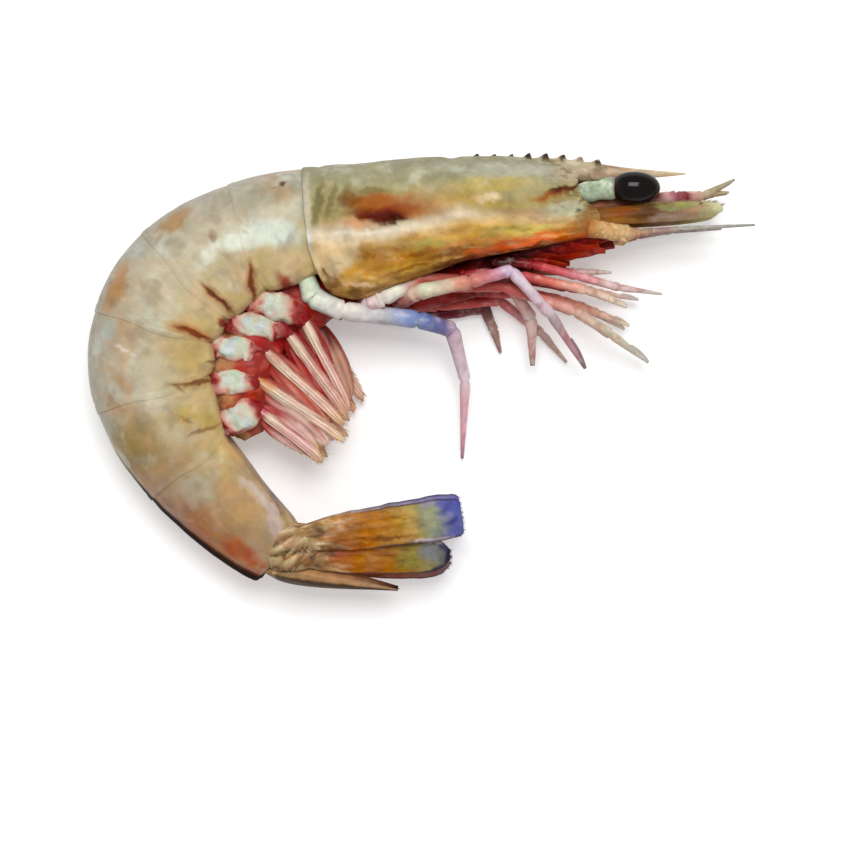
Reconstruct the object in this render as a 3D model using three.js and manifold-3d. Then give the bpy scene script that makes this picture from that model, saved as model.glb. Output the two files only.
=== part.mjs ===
// A raw king prawn, head and shell on, lying on its left side with the tail curled under.
// Sizes are in millimetres. x runs forward along the head, y towards its back, z up from the table.
import * as THREE from 'three';
import { LoftGeometry } from 'three/addons/geometries/LoftGeometry.js';
import { mergeVertices } from 'three/addons/utils/BufferGeometryUtils.js';
import Module from 'manifold-3d';

// The neck is where the head shell meets the tail; every other place is measured from it.
const NECK = new THREE.Vector3(-17.5, 23.25, 8.05);
const HEAD_PITCH_DEG = 4.5;
const TABLE_Z = -NECK.z;

// Tail segments from the neck back: length along the spine and how far the spine turns in each.
const SEGMENTS = [
  { length: 9.9, bend: 13.5 },
  { length: 11.8, bend: 24 },
  { length: 9.6, bend: 30 },
  { length: 11.0, bend: 34 },
  { length: 12.8, bend: 22 },
  { length: 20.0, bend: 16 },
];
// Height above the spine, depth below it and half width, at each joint of the tail.
const TAIL_HEIGHT = [9.6, 9.5, 9.8, 9.8, 9.6, 8.3, 5.8];
const TAIL_DEPTH = [9.5, 9.5, 9.8, 9.8, 9.6, 8.3, 5.8];
const TAIL_HALF_WIDTH = [7.6, 7.9, 8.2, 8.2, 8.0, 7.0, 4.4];

// Each segment tucks its front under the rim of the one before it.
const TUCK = 2.4;
const RIM_LAP = 0.7;
const TUCK_CLEARANCE = 0.4;
const SIDE_PLATE_SCALLOP = 0.1;
const BELLY_HOLLOW = 1.5;

// Head shell, from the neck forward: distance, height, depth and half width.
const SHELL_AT = [0, 6, 14, 19, 24, 32, 38, 42.5];
const SHELL_HEIGHT = [9.8, 9.7, 9.5, 9.3, 9.0, 8.4, 7.4, 6.6];
const SHELL_DEPTH = [9.9, 12.0, 10.2, 8.6, 7.1, 6.0, 5.2, 4.2];
const SHELL_HALF_WIDTH = [7.8, 8.3, 8.4, 8.3, 7.9, 6.8, 5.6, 4.8];

// Toothed beak on top of the head shell.
const BEAK_AT = [25, 32, 36.4, 41.2, 46, 50.8, 60.2];
const BEAK_HEIGHT = [8.9, 8.3, 8.2, 7.6, 6.6, 5.5, 3.9];
const BEAK_THICKNESS = 1.4;
const TOOTH_COUNT = 8;
const TOOTH_END = 47;
const TOOTH_HEIGHT = 0.7;

const BODY_SIDES = 24;
const LIMB_SIDES = 7;
const BLADE_SIDES = 10;

const SHELL_BEIGE = '#b9ab86';
const SHELL_OLIVE = '#b1a684';
const AMBER = '#a8662a';
const EYE_BLACK = '#150a09';
const STALK_GREEN = '#a1a383';
const SCALE_BROWN = '#7a5a35';
const LEG_PALE = '#d2c7bb';
const LEG_PINK = '#c99a90';
const PADDLE_PINK = '#e0b39e';
const MOUTH_RED = '#6a2a1c';

const wasm = await Module();
wasm.setup();

const deg = THREE.MathUtils.degToRad;
const UP = new THREE.Vector3(0, 0, 1);
const prawn = new THREE.Group();
prawn.position.copy(NECK);

// A smooth curve through values given at rising positions.
function curveThrough(positions, values) {
  const curve = new THREE.CubicInterpolant(positions, values, 1);
  return (at) => curve.evaluate(at)[0];
}

// The spine: straight through the head, then bending steadily along each tail segment.
const jointAt = [0];
const jointHeading = [180 + HEAD_PITCH_DEG];
for (const { length, bend } of SEGMENTS) {
  jointAt.push(jointAt.at(-1) + length);
  jointHeading.push(jointHeading.at(-1) + bend);
}
const headingAt = curveThrough(jointAt, jointHeading);
const tailHeight = curveThrough(jointAt, TAIL_HEIGHT);
const tailDepth = curveThrough(jointAt, TAIL_DEPTH);
const tailHalfWidth = curveThrough(jointAt, TAIL_HALF_WIDTH);
const shellHeight = curveThrough(SHELL_AT, SHELL_HEIGHT);
const shellDepth = curveThrough(SHELL_AT, SHELL_DEPTH);
const shellHalfWidth = curveThrough(SHELL_AT, SHELL_HALF_WIDTH);

function flatDirection(degrees) {
  return new THREE.Vector3(Math.cos(deg(degrees)), Math.sin(deg(degrees)), 0);
}

// Place on the spine, with its backward direction and the direction of the animal's back.
function spineAt(at) {
  const point = new THREE.Vector3();
  const straight = Math.min(at, 0);
  point.addScaledVector(flatDirection(jointHeading[0]), straight);
  const steps = Math.ceil(Math.max(at, 0) / 0.5);
  for (let step = 0; step < steps; step++) {
    const middle = (at * (step + 0.5)) / steps;
    point.addScaledVector(flatDirection(headingAt(middle)), at / steps);
  }
  const heading = headingAt(Math.max(at, 0));
  return { point, back: flatDirection(heading), dorsal: flatDirection(heading - 90) };
}

// One ring of points around a direction of travel; outline gives (up, across) for an angle.
function ring(centre, travel, up, sides, outline) {
  const across = new THREE.Vector3().crossVectors(travel, up);
  const points = [];
  for (let k = 0; k < sides; k++) {
    const [rise, side] = outline((2 * Math.PI * k) / sides);
    points.push(centre.clone().addScaledVector(up, rise).addScaledVector(across, side));
  }
  return points;
}

function loft(rings) {
  return new LoftGeometry(rings, { closed: true, capStart: true, capEnd: true });
}

// Cross-section of the body: round back, straighter flanks, and a belly hollow between them.
function bodyOutline(height, depth, halfWidth, hollow) {
  return (angle) => {
    const c = Math.cos(angle);
    const s = Math.sin(angle);
    const power = c >= 0 ? 0.95 : 0.72;
    const side = halfWidth * Math.sign(s) * Math.abs(s) ** power;
    if (c >= 0) return [height * c ** power, side];
    const inner = Math.max(0, 1 - (side / (0.75 * halfWidth)) ** 2);
    return [-depth * Math.abs(c) ** power + hollow * inner, side];
  };
}

function tailRing(at, swell, lobe, travelSign) {
  const { point, back, dorsal } = spineAt(at);
  const outline = bodyOutline(
    swell * tailHeight(at),
    swell * lobe * tailDepth(at),
    swell * tailHalfWidth(at),
    swell * BELLY_HOLLOW,
  );
  return ring(point, back.multiplyScalar(travelSign), dorsal, BODY_SIDES, outline);
}

function shellRing(forward, swell) {
  const { point, back, dorsal } = spineAt(-forward);
  const along = Math.max(forward, 0);
  const outline = bodyOutline(
    swell * shellHeight(along),
    swell * shellDepth(along),
    swell * shellHalfWidth(along),
    swell * BELLY_HOLLOW,
  );
  return ring(point, back.negate(), dorsal, BODY_SIDES, outline);
}

// Soft flanks settle flat where they lie on the table.
function settle(geometry) {
  const place = geometry.getAttribute('position');
  for (let k = 0; k < place.count; k++) place.setZ(k, Math.max(place.getZ(k), TABLE_Z));
  return geometry;
}

function addPiece(name, geometry, color, roughness = 0.35) {
  const material = new THREE.MeshStandardMaterial({ color, roughness, metalness: 0 });
  const piece = new THREE.Mesh(geometry, material);
  piece.name = name;
  prawn.add(piece);
  return piece;
}

function toSolid(geometry) {
  const bare = geometry.index ? geometry.toNonIndexed() : geometry.clone();
  bare.deleteAttribute('normal');
  bare.deleteAttribute('uv');
  const welded = mergeVertices(bare, 1e-4);
  const mesh = new wasm.Mesh({
    numProp: 3,
    vertProperties: new Float32Array(welded.getAttribute('position').array),
    triVerts: new Uint32Array(welded.index.array),
  });
  return new wasm.Manifold(mesh);
}

function fuse(geometries) {
  const joined = geometries.map(toSolid).reduce((whole, solid) => whole.add(solid));
  const { vertProperties, triVerts } = joined.getMesh();
  const geometry = new THREE.BufferGeometry();
  geometry.setAttribute('position', new THREE.BufferAttribute(new Float32Array(vertProperties), 3));
  geometry.setIndex(new THREE.BufferAttribute(new Uint32Array(triVerts), 1));
  geometry.computeVertexNormals();
  return geometry;
}

// Head shell with the socket that takes the first tail segment.
function headShell() {
  const rings = [
    tailRing(-TUCK - 0.3, 0.6, 1, -1),
    tailRing(-TUCK - TUCK_CLEARANCE, 0.9, 1 - SIDE_PLATE_SCALLOP, -1),
    tailRing(RIM_LAP - 0.1, 0.965, 1 - SIDE_PLATE_SCALLOP, -1),
    shellRing(-RIM_LAP, 1),
  ];
  const front = SHELL_AT.at(-1);
  const stations = 15;
  for (let k = 1; k <= stations; k++) rings.push(shellRing((front * k) / stations, 1));
  rings.push(shellRing(front + 0.6, 0.85), shellRing(front + 0.8, 0.6));
  return settle(loft(rings));
}

// The beak runs along the top of the head shell and thins to a point beyond the eyes.
function beak() {
  const top = curveThrough(BEAK_AT, BEAK_HEIGHT);
  const start = BEAK_AT[0];
  const tip = BEAK_AT.at(-1);
  const orbit = SHELL_AT.at(-1);
  const outline = new THREE.Shape();
  outline.moveTo(start, top(start) - 1.2);
  const pitch = (TOOTH_END - start) / TOOTH_COUNT;
  for (let tooth = 0; tooth < TOOTH_COUNT; tooth++) {
    const foot = start + pitch * (tooth + 0.25);
    const point = foot + 0.62 * pitch;
    outline.lineTo(foot, top(foot));
    outline.lineTo(point, top(point) + TOOTH_HEIGHT * (1 - 0.05 * tooth));
    outline.lineTo(point + 0.08 * pitch, top(point));
  }
  outline.lineTo(tip, top(tip));
  outline.lineTo(tip - 9, top(tip - 9) - 1.3);
  outline.lineTo(orbit, top(orbit) - 2.4);
  outline.lineTo(start + 6, top(start + 6) - 2.6);
  const geometry = new THREE.ExtrudeGeometry(outline, { depth: BEAK_THICKNESS, bevelEnabled: false });
  geometry.translate(0, 0, -BEAK_THICKNESS / 2);
  return geometry.rotateZ(deg(HEAD_PITCH_DEG));
}
addPiece('carapace', fuse([headShell(), beak()]), SHELL_OLIVE);

// Tail segments: tucked front, swelling ring, and a hollow rear rim over the next segment.
function tailSegment(index) {
  const front = jointAt[index];
  const rear = jointAt[index + 1];
  const length = rear - front;
  const lobeAt = (share) => {
    const away = Math.min(1, Math.abs(2 * share - 1) / 0.8);
    return 1 - SIDE_PLATE_SCALLOP * away ** 3;
  };
  const outer = (share, swell) => tailRing(front + share * length, swell, lobeAt(share), 1);
  const rings = [
    tailRing(front - TUCK, 0.84, lobeAt(0), 1),
    tailRing(front - 0.2, 0.905, lobeAt(0), 1),
    outer(0.08, 0.93),
    outer(0.3, 0.975),
    outer(0.55, 1),
    outer(0.8, 1.01),
  ];
  if (index === SEGMENTS.length - 1) {
    rings.push(outer(0.95, 1), outer(1, 0.92), outer(1.02, 0.6));
    return settle(loft(rings));
  }
  rings.push(
    tailRing(rear + RIM_LAP, 1.015, lobeAt(1), 1),
    tailRing(rear + RIM_LAP - 0.1, 0.965, lobeAt(1), 1),
    tailRing(rear - TUCK - TUCK_CLEARANCE, 0.9, lobeAt(1), 1),
    tailRing(rear - TUCK - 0.3, 0.6, lobeAt(1), 1),
  );
  return settle(loft(rings));
}
SEGMENTS.forEach((segment, index) => {
  addPiece(`abdomen_${index + 1}`, tailSegment(index), SHELL_BEIGE);
});

// A flat blade along +x: half width and half thickness at shares of its length.
function blade(length, shares, halfWidths, halfThicknesses, stations, sides = BLADE_SIDES) {
  const halfWidth = curveThrough(shares, halfWidths);
  const halfThickness = curveThrough(shares, halfThicknesses);
  const travel = new THREE.Vector3(1, 0, 0);
  const rings = [];
  for (let k = 0; k <= stations; k++) {
    const share = k / stations;
    const outline = (angle) => [
      halfThickness(share) * Math.cos(angle),
      halfWidth(share) * Math.sin(angle),
    ];
    rings.push(ring(travel.clone().multiplyScalar(share * length), travel, UP, sides, outline));
  }
  return loft(rings);
}

// Turn a blade about its own length, let it droop, point it and move it into place.
function pose(geometry, x, y, z, heading, droop, roll) {
  const turn = new THREE.Euler(deg(roll), deg(droop), deg(heading), 'ZYX');
  const matrix = new THREE.Matrix4().makeRotationFromEuler(turn).setPosition(x, y, z);
  return geometry.applyMatrix4(matrix);
}

// Tail fan: a middle spike and, on each side, an outer and an inner blade.
const TELSON = blade(19, [0, 0.3, 0.7, 1], [2.7, 2.4, 1.4, 0.3], [1.6, 1.3, 0.8, 0.25], 8);
addPiece('telson', pose(TELSON, -5.1, -55.2, 0, -8, 0, 90), AMBER);

const SIDES = [
  { side: 'right', sign: 1 },
  { side: 'left', sign: -1 },
];
for (const { side, sign } of SIDES) {
  const spread = sign > 0 ? 0 : 4;
  const outer = blade(27, [0, 0.25, 0.8, 0.97, 1], [1.2, 2.1, 3.2, 3.1, 2.6], [1.0, 0.6, 0.45, 0.35, 0.2], 9);
  addPiece(`uropod_outer_${side}`, pose(outer, -2.4, -49.6, 3.6 * sign, 7 + spread, 0, 0), AMBER);
  const inner = blade(24.4, [0, 0.25, 0.75, 0.95, 1], [1.2, 1.9, 2.9, 2.0, 0.8], [0.9, 0.6, 0.45, 0.3, 0.2], 9);
  addPiece(`uropod_inner_${side}`, pose(inner, -2.4, -52.4, 2.1 * sign, 0.5 + spread / 2, 0, 0), AMBER);
}

// A limb made of jointed lengths, pinched a little at each joint.
function limb(joints, radii) {
  const rings = [];
  const circle = (centre, travel, radius) => {
    const up = UP.clone().addScaledVector(travel, -UP.dot(travel)).normalize();
    const outline = (angle) => [radius * Math.cos(angle), radius * Math.sin(angle)];
    rings.push(ring(centre, travel, up, LIMB_SIDES, outline));
  };
  const directions = joints.slice(1).map((end, k) => end.clone().sub(joints[k]).normalize());
  circle(joints[0], directions[0], radii[0] * 0.8);
  directions.forEach((travel, k) => {
    const start = joints[k];
    const end = joints[k + 1];
    const last = k === directions.length - 1;
    circle(start.clone().lerp(end, 0.2), travel, THREE.MathUtils.lerp(radii[k], radii[k + 1], 0.2));
    circle(start.clone().lerp(end, 0.8), travel, THREE.MathUtils.lerp(radii[k], radii[k + 1], 0.8));
    const next = last ? travel : travel.clone().add(directions[k + 1]).normalize();
    circle(end, next, radii[k + 1] * 0.88);
  });
  return loft(rings);
}

// Joints of a limb from its root and a list of lengths, headings and end heights.
function jointsOf(root, lengths, headings, heights) {
  const joints = [new THREE.Vector3(...root)];
  lengths.forEach((length, k) => {
    const step = flatDirection(headings[k]).multiplyScalar(length);
    const next = joints.at(-1).clone().add(step);
    joints.push(next.setZ(heights[k]));
  });
  return joints;
}

// Walking legs and the foremost pair of mouth legs, each in the fold it lies in.
const LEGS = [
  {
    name: 'leg_5_right', color: LEG_PALE, root: [0.2, -11.3, 3.0],
    lengths: [5.2, 12.1, 5.6, 8.3, 12.6], headings: [-25, -6, -16, -75, -92],
    heights: [3.6, 1.8, 0.2, -3.0, -7.4], radii: [1.9, 1.6, 1.4, 1.3, 0.9, 0.25],
  },
  {
    name: 'leg_4_right', color: LEG_PALE, root: [9.3, -13.3, 0.2],
    lengths: [2.1, 7.1, 13.8, 6.9, 7.5], headings: [28, 26, -1, -57, -88],
    heights: [0.2, 0.1, -0.6, -2.2, -3.6], radii: [1.1, 1.1, 1.0, 0.9, 0.85, 0.25],
  },
  {
    name: 'leg_3_right', color: LEG_PALE, root: [14.2, -11.6, 3.1],
    lengths: [2.6, 8.6, 6.8, 9.4, 10.1], headings: [23, 11, 15, -47, -55],
    heights: [4.8, 5.8, 5.4, 2.8, -3.0], radii: [1.2, 1.2, 1.1, 1.0, 0.85, 0.25],
  },
  {
    name: 'leg_2_right', color: LEG_PINK, root: [19.3, -10.2, 2.2],
    lengths: [2.4, 8.8, 12.2, 7.0, 7.5], headings: [15, 0, -18, -32, -35],
    heights: [2.2, 2.1, 0.4, -1.8, -4.5], radii: [0.85, 0.85, 0.85, 0.95, 0.85, 0.3],
  },
  {
    name: 'leg_1_right', color: LEG_PINK, root: [24.2, -7.9, 2.5],
    lengths: [2.3, 6.6, 11.1, 3.7, 3.2], headings: [13, -3, -12, -20, -26],
    heights: [2.4, 2.2, 1.4, 0.8, 0.2], radii: [0.75, 0.75, 0.75, 0.75, 0.65, 0.25],
  },
  {
    name: 'maxilliped_right', color: LEG_PINK, root: [29.4, -5.8, 2.5],
    lengths: [2.2, 3.4, 7.5, 7.1, 6.8], headings: [5, -7, -14, -15, -8],
    heights: [2.5, 2.4, 2.0, 1.2, 0.4], radii: [0.7, 0.7, 0.7, 0.7, 0.6, 0.2],
  },
  {
    name: 'leg_5_left', color: LEG_PALE, root: [1.2, -11.8, -3.2],
    lengths: [3.7, 11.4, 11.7, 4.1, 3.8], headings: [-22, -4, 8, -67, -73],
    heights: [-6.0, -6.7, -6.6, -6.9, -7.4], radii: [1.2, 1.2, 1.1, 0.95, 0.75, 0.25],
  },
  {
    name: 'leg_4_left', color: LEG_PALE, root: [9.0, -13.0, -1.8],
    lengths: [2.5, 8.6, 10.2, 8.7, 6.1], headings: [14, 1, 5, -38, -49],
    heights: [-3.0, -4.0, -5.6, -6.4, -7.2], radii: [1.0, 1.0, 0.9, 0.8, 0.7, 0.25],
  },
  {
    name: 'leg_3_left', color: LEG_PALE, root: [14.2, -10.7, -2.4],
    lengths: [2.5, 8.4, 11.0, 8.3, 7.2], headings: [12, 1, -2, -15, -28],
    heights: [-3.6, -4.4, -4.4, -5.0, -6.4], radii: [0.9, 0.9, 0.85, 0.8, 0.7, 0.25],
  },
  {
    name: 'leg_2_left', color: LEG_PINK, root: [19.3, -10.1, -2.2],
    lengths: [2.4, 8.4, 10.2, 6.4, 5.4], headings: [17, 1, -12, -19, -22],
    heights: [-2.2, -2.3, -2.8, -3.6, -4.6], radii: [0.75, 0.75, 0.75, 0.7, 0.6, 0.25],
  },
  {
    name: 'leg_1_left', color: LEG_PINK, root: [24.2, -7.9, -4.3],
    lengths: [2.5, 6.4, 8.1, 6.1, 5.7], headings: [12, -5, -10, -8, -10],
    heights: [-4.4, -4.5, -4.7, -5.2, -5.8], radii: [0.75, 0.75, 0.7, 0.65, 0.55, 0.2],
  },
  {
    name: 'maxilliped_left', color: LEG_PINK, root: [29.4, -5.8, -2.4],
    lengths: [2.1, 4.6, 6.3, 3.1, 2.6], headings: [-14, -6, -1, 0, -2],
    heights: [-2.4, -2.4, -2.4, -2.5, -2.6], radii: [0.7, 0.7, 0.65, 0.6, 0.5, 0.2],
  },
];
for (const { name, color, root, lengths, headings, heights, radii } of LEGS) {
  addPiece(name, limb(jointsOf(root, lengths, headings, heights), radii), color);
}

// Swimming legs: a block under each side plate that carries a long and a short paddle.
const PADDLES = [
  { block: [-4.55, -13.3], turn: -22, blockLength: 8.6, heading: -65, length: 16.4, spread: -6 },
  { block: [-7.75, -16.2], turn: -9, blockLength: 9.6, heading: -55, length: 16.4, spread: -6 },
  { block: [-10.9, -19.5], turn: -3, blockLength: 8.4, heading: -45, length: 17.4, spread: -6 },
  { block: [-11.6, -24.6], turn: 5, blockLength: 7.2, heading: -37, length: 17.0, spread: -6 },
  { block: [-10.6, -29.9], turn: 25, blockLength: 5.6, heading: -42, length: 13.4, spread: 2 },
];
// On the left the first leg reaches further forward, and the others swing forward a little.
const LEFT_SWING = 4;
const LEFT_FIRST = { ...PADDLES[0], block: [-3.6, -13.7], blockLength: 10.6, heading: -64, length: 14.6 };
const PADDLE_SIDE = 3.6;
const BLOCK_SHARES = [-0.5, -0.25, 0.3, 0.5];
const BLOCK_HALF_HEIGHT = [1.2, 1.6, 1.6, 0.9];
const BLOCK_HALF_WIDTH = [1.1, 1.6, 1.5, 0.9];
const PADDLE_SHARES = [0, 0.15, 0.4, 0.75, 1];
function swimmingLeg(index, sign) {
  const row = sign < 0 && index === 0 ? LEFT_FIRST : PADDLES[index];
  const { block, turn, blockLength, heading, length, spread } = row;
  const travel = flatDirection(turn);
  const middle = new THREE.Vector3(...block, PADDLE_SIDE * sign);
  const rings = BLOCK_SHARES.map((share, k) => {
    const rounded = (value) => Math.sign(value) * Math.abs(value) ** 0.6;
    const outline = (angle) => [
      BLOCK_HALF_WIDTH[k] * rounded(Math.cos(angle)),
      BLOCK_HALF_HEIGHT[k] * rounded(Math.sin(angle)),
    ];
    return ring(middle.clone().addScaledVector(travel, share * blockLength), travel, UP, 8, outline);
  });
  const end = middle.clone().addScaledVector(travel, 0.42 * blockLength);
  const aim = heading + (sign > 0 ? 0 : LEFT_SWING);
  const long = blade(length, PADDLE_SHARES, [0.8, 0.9, 1.6, 1.2, 0.4], [0.6, 0.6, 0.5, 0.35, 0.12], 6, 8);
  pose(long, end.x, end.y, end.z, aim, sign > 0 ? 7 : 9, 40 * sign);
  const short = blade(0.75 * length, PADDLE_SHARES, [0.6, 0.8, 1.2, 0.9, 0.3], [0.5, 0.5, 0.4, 0.3, 0.12], 5, 8);
  pose(short, end.x, end.y, end.z - 1.0 * sign, aim + spread, sign > 0 ? 5 : 4, 40 * sign);
  return fuse([loft(rings), long, short]);
}
for (const { side, sign } of SIDES) {
  PADDLES.forEach((paddle, index) => {
    addPiece(`pleopod_${index + 1}_${side}`, swimmingLeg(index, sign), PADDLE_PINK);
  });
}

// Eyes on short stalks, feelers and their scales at the front of the head.
const EYE_SIZE = new THREE.Vector3(3.85, 2.75, 2.8);
for (const { side, sign } of SIDES) {
  const cornea = new THREE.SphereGeometry(1, 14, 10);
  cornea.scale(EYE_SIZE.x, EYE_SIZE.y, EYE_SIZE.z).translate(51.6, 6.5, 4.4 * sign);
  addPiece(`eye_${side}`, cornea, EYE_BLACK, 0.1);

  const stalkRoot = new THREE.Vector3(43.9, 5.4, 2.9 * sign);
  const stalkEnd = new THREE.Vector3(47.4, 6.0, 4.2 * sign);
  addPiece(`eyestalk_${side}`, limb([stalkRoot, stalkEnd], [1.5, 1.3]), STALK_GREEN);

  const scale = blade(20.8, [0, 0.2, 0.6, 0.92, 1], [0.9, 1.7, 2.3, 1.6, 0.7], [0.5, 0.45, 0.4, 0.3, 0.2], 8);
  addPiece(`antennal_scale_${side}`, pose(scale, 44.4, 0.1, 4.6 * sign, 9, 0, 0), SCALE_BROWN);

  const feelerRoot = [44.2, 2.7, 1.55 * sign];
  const feeler = jointsOf(feelerRoot, [8, 6, 4.2, 5.6], [4, 5, 6, 33], [1.5, 1.5, 1.6, 2.0].map((z) => z * sign));
  addPiece(`antennule_${side}`, limb(feeler, [1.2, 1.15, 1.0, 0.75, 0.2]), SCALE_BROWN);

  const whipLengths = sign > 0 ? [6.2, 8.8, 12] : [6.2, 8.0, 8.0];
  const whip = jointsOf([43.9, -1.2, 2.4 * sign], whipLengths, [-6, 8, 3], [2.4, 2.4, 2.0].map((z) => z * sign));
  addPiece(`antenna_${side}`, limb(whip, [1.4, 1.2, 0.4, 0.22]), SCALE_BROWN);
}

// Folded mouthparts under the front of the head shell.
const MOUTH = blade(14, [0, 0.3, 0.8, 1], [0.6, 1.3, 1.3, 0.7], [1.6, 2.6, 2.2, 1.0], 6);
addPiece('mouthparts', pose(MOUTH, 30.4, -4.5, 0, 0, 0, 0), MOUTH_RED);

const part = new THREE.Group();
part.add(prawn);
export default part;
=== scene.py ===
import math
import bpy
import numpy as np
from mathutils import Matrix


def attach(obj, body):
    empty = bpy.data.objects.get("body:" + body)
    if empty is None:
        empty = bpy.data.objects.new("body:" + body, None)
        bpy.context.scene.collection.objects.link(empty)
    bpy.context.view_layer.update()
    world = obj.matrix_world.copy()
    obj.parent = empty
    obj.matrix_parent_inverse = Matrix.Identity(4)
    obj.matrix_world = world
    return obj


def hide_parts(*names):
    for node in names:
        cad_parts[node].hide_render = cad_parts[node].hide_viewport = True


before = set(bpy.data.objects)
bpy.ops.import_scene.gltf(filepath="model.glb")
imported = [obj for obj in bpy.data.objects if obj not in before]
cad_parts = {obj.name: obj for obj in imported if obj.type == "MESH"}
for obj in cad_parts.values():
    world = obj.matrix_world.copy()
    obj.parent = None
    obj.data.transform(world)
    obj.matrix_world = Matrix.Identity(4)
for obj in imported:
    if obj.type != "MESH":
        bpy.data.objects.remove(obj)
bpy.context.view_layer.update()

# Places are in millimetres from the neck, where the head shell meets the tail:
# x forward along the head, y towards its back, z up from the table.
MM = 0.001
NECK = np.array([-17.5, 23.25, 8.05])
TABLE = -NECK[2]
HEAD_PITCH = 4.5
PIXEL = 0.16
NECK_PIXEL = (312.5, 228.0)
PHOTO_SIZE = 865
PHOTO_MIDDLE = PHOTO_SIZE / 2
CAMERA_HEIGHT = 384.4
SIDES = (("right", 1), ("left", -1))

# The tail: the length and bend of each segment, and its size at each joint.
SEGMENT_LENGTH = [9.9, 11.8, 9.6, 11.0, 12.8, 20.0]
SEGMENT_BEND = [13.5, 24, 30, 34, 22, 16]
TAIL_HEIGHT = [9.6, 9.5, 9.8, 9.8, 9.6, 8.3, 5.8]
TAIL_DEPTH = [9.5, 9.5, 9.8, 9.8, 9.6, 8.3, 5.8]
TAIL_HALF_WIDTH = [7.6, 7.9, 8.2, 8.2, 8.0, 7.0, 4.4]
# The head shell and the top of its beak, at distances forward from the neck.
SHELL_AT = [0, 6, 14, 19, 24, 32, 38, 42.5]
SHELL_HEIGHT = [9.6, 9.65, 9.5, 9.3, 9.0, 8.4, 7.4, 6.6]
SHELL_DEPTH = [11.0, 13.3, 11.4, 9.9, 8.5, 7.4, 6.8, 6.1]
SHELL_HALF_WIDTH = [7.8, 8.3, 8.4, 8.3, 7.9, 6.8, 5.6, 4.8]
BEAK_AT = [25, 32, 36.4, 41.2, 46, 50.8, 60.2]
BEAK_HEIGHT = [8.9, 8.3, 8.2, 7.6, 6.6, 5.5, 3.9]
TOOTH_SPACING = 2.75
EVEN_HEIGHT = 9.0
EVEN_HALF_WIDTH = 8.0
BELLY_HOLLOW = 1.5
BELLY_SHARE = 0.75
BACK_ROUNDNESS = 0.95
BELLY_ROUNDNESS = 0.72
BRISTLE_RADIUS = 0.045
# How far the side plates hang below the belly line at each joint of the tail.
SIDE_PLATE = [1.04, 1.15, 1.23, 1.25, 1.23, 1.1, 1.0]


# Curves, noise and colours

def curve(positions, values):
    """A smooth curve through values at rising positions."""
    at = np.array(positions, float)
    value = np.array(values, float)
    step = np.diff(value) / np.diff(at)
    slope = np.empty_like(value)
    slope[1:-1] = (value[2:] - value[:-2]) / (at[2:] - at[:-2])
    slope[0] = 1.5 * step[0] - 0.5 * slope[1]
    slope[-1] = 1.5 * step[-1] - 0.5 * slope[-2]

    def evaluate(where):
        where = np.clip(where, at[0], at[-1])
        k = np.clip(np.searchsorted(at, where) - 1, 0, len(at) - 2)
        gap = at[k + 1] - at[k]
        t = (where - at[k]) / gap
        start = (1 + 2 * t) * (1 - t) ** 2 * value[k] + t * (1 - t) ** 2 * gap * slope[k]
        end = t * t * (3 - 2 * t) * value[k + 1] + t * t * (t - 1) * gap * slope[k + 1]
        return start + end

    return evaluate


def ease(low, high, value):
    share = np.clip((value - low) / (high - low), 0.0, 1.0)
    return share * share * (3.0 - 2.0 * share)


def bump(distance, width):
    return np.exp(-((distance / width) ** 2))


def around(count):
    """Angles round a ring, as one row."""
    return (2 * np.pi * np.arange(count) / count)[None, :]


def smooth_path(positions, points, count):
    """A row of points on a smooth curve through a few."""
    points = np.array(points, float)
    share = np.linspace(0, 1, count)
    return np.stack([curve(positions, column)(share) for column in points.T], -1)


def direction(degrees):
    return np.array([math.cos(math.radians(degrees)), math.sin(math.radians(degrees)), 0.0])


def noise(points, size, seed):
    """Smooth noise from -1 to 1 that changes over about size millimetres."""
    place = points / size + 200.0 + 17.3 * seed
    cell = np.floor(place).astype(np.int64)
    part = place - cell
    part = part * part * (3.0 - 2.0 * part)
    total = np.zeros(points.shape[:-1])
    for corner in np.ndindex(2, 2, 2):
        key = (cell + np.array(corner)) * np.array([73856093, 19349663, 83492791])
        mixed = np.bitwise_xor(np.bitwise_xor(key[..., 0], key[..., 1]), key[..., 2]) + 1013 * seed
        mixed = (mixed * 2654435761) & 0xFFFFFFFF
        mixed = ((mixed ^ (mixed >> 15)) * 2246822519) & 0xFFFFFFFF
        value = ((mixed ^ (mixed >> 13)) & 0xFFFF) / 32767.5 - 1.0
        weight = np.prod(np.where(np.array(corner) == 1, part, 1.0 - part), axis=-1)
        total += weight * value
    return total


def wavy(points, size, seed):
    """A direction and strength of noise for each point."""
    return np.stack([noise(points, size, seed + k) for k in range(3)], -1)


def stretch(points, share):
    """Points drawn together along x, which draws noise on them out into strokes."""
    return points * np.array([share, 1.0, 1.0])


def cloud(points, size, seed):
    """Noise of several sizes, bent so that its patches have no grain."""
    bent = points + 0.6 * size * wavy(points, 1.3 * size, seed + 7)
    fine = 0.3 * noise(bent, 0.45 * size, seed + 1) + 0.16 * noise(bent, 0.2 * size, seed + 2)
    return 0.62 * noise(bent, size, seed) + fine


def linear(code):
    channels = np.array([int(code[k:k + 2], 16) for k in (1, 3, 5)]) / 255.0
    return np.where(channels <= 0.04045, channels / 12.92, ((channels + 0.055) / 1.055) ** 2.4)


def ramp(shares, stops):
    """Colour along a row of (share, colour) stops."""
    at = [stop[0] for stop in stops]
    table = np.array([linear(stop[1]) for stop in stops])
    return np.stack([np.interp(shares, at, table[:, k]) for k in range(3)], axis=-1)


def blend(tint, colour, share):
    """Mix a colour over a tint by a share for each point."""
    other = linear(colour) if isinstance(colour, str) else colour
    return tint + np.asarray(share)[..., None] * (other - tint)


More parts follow.
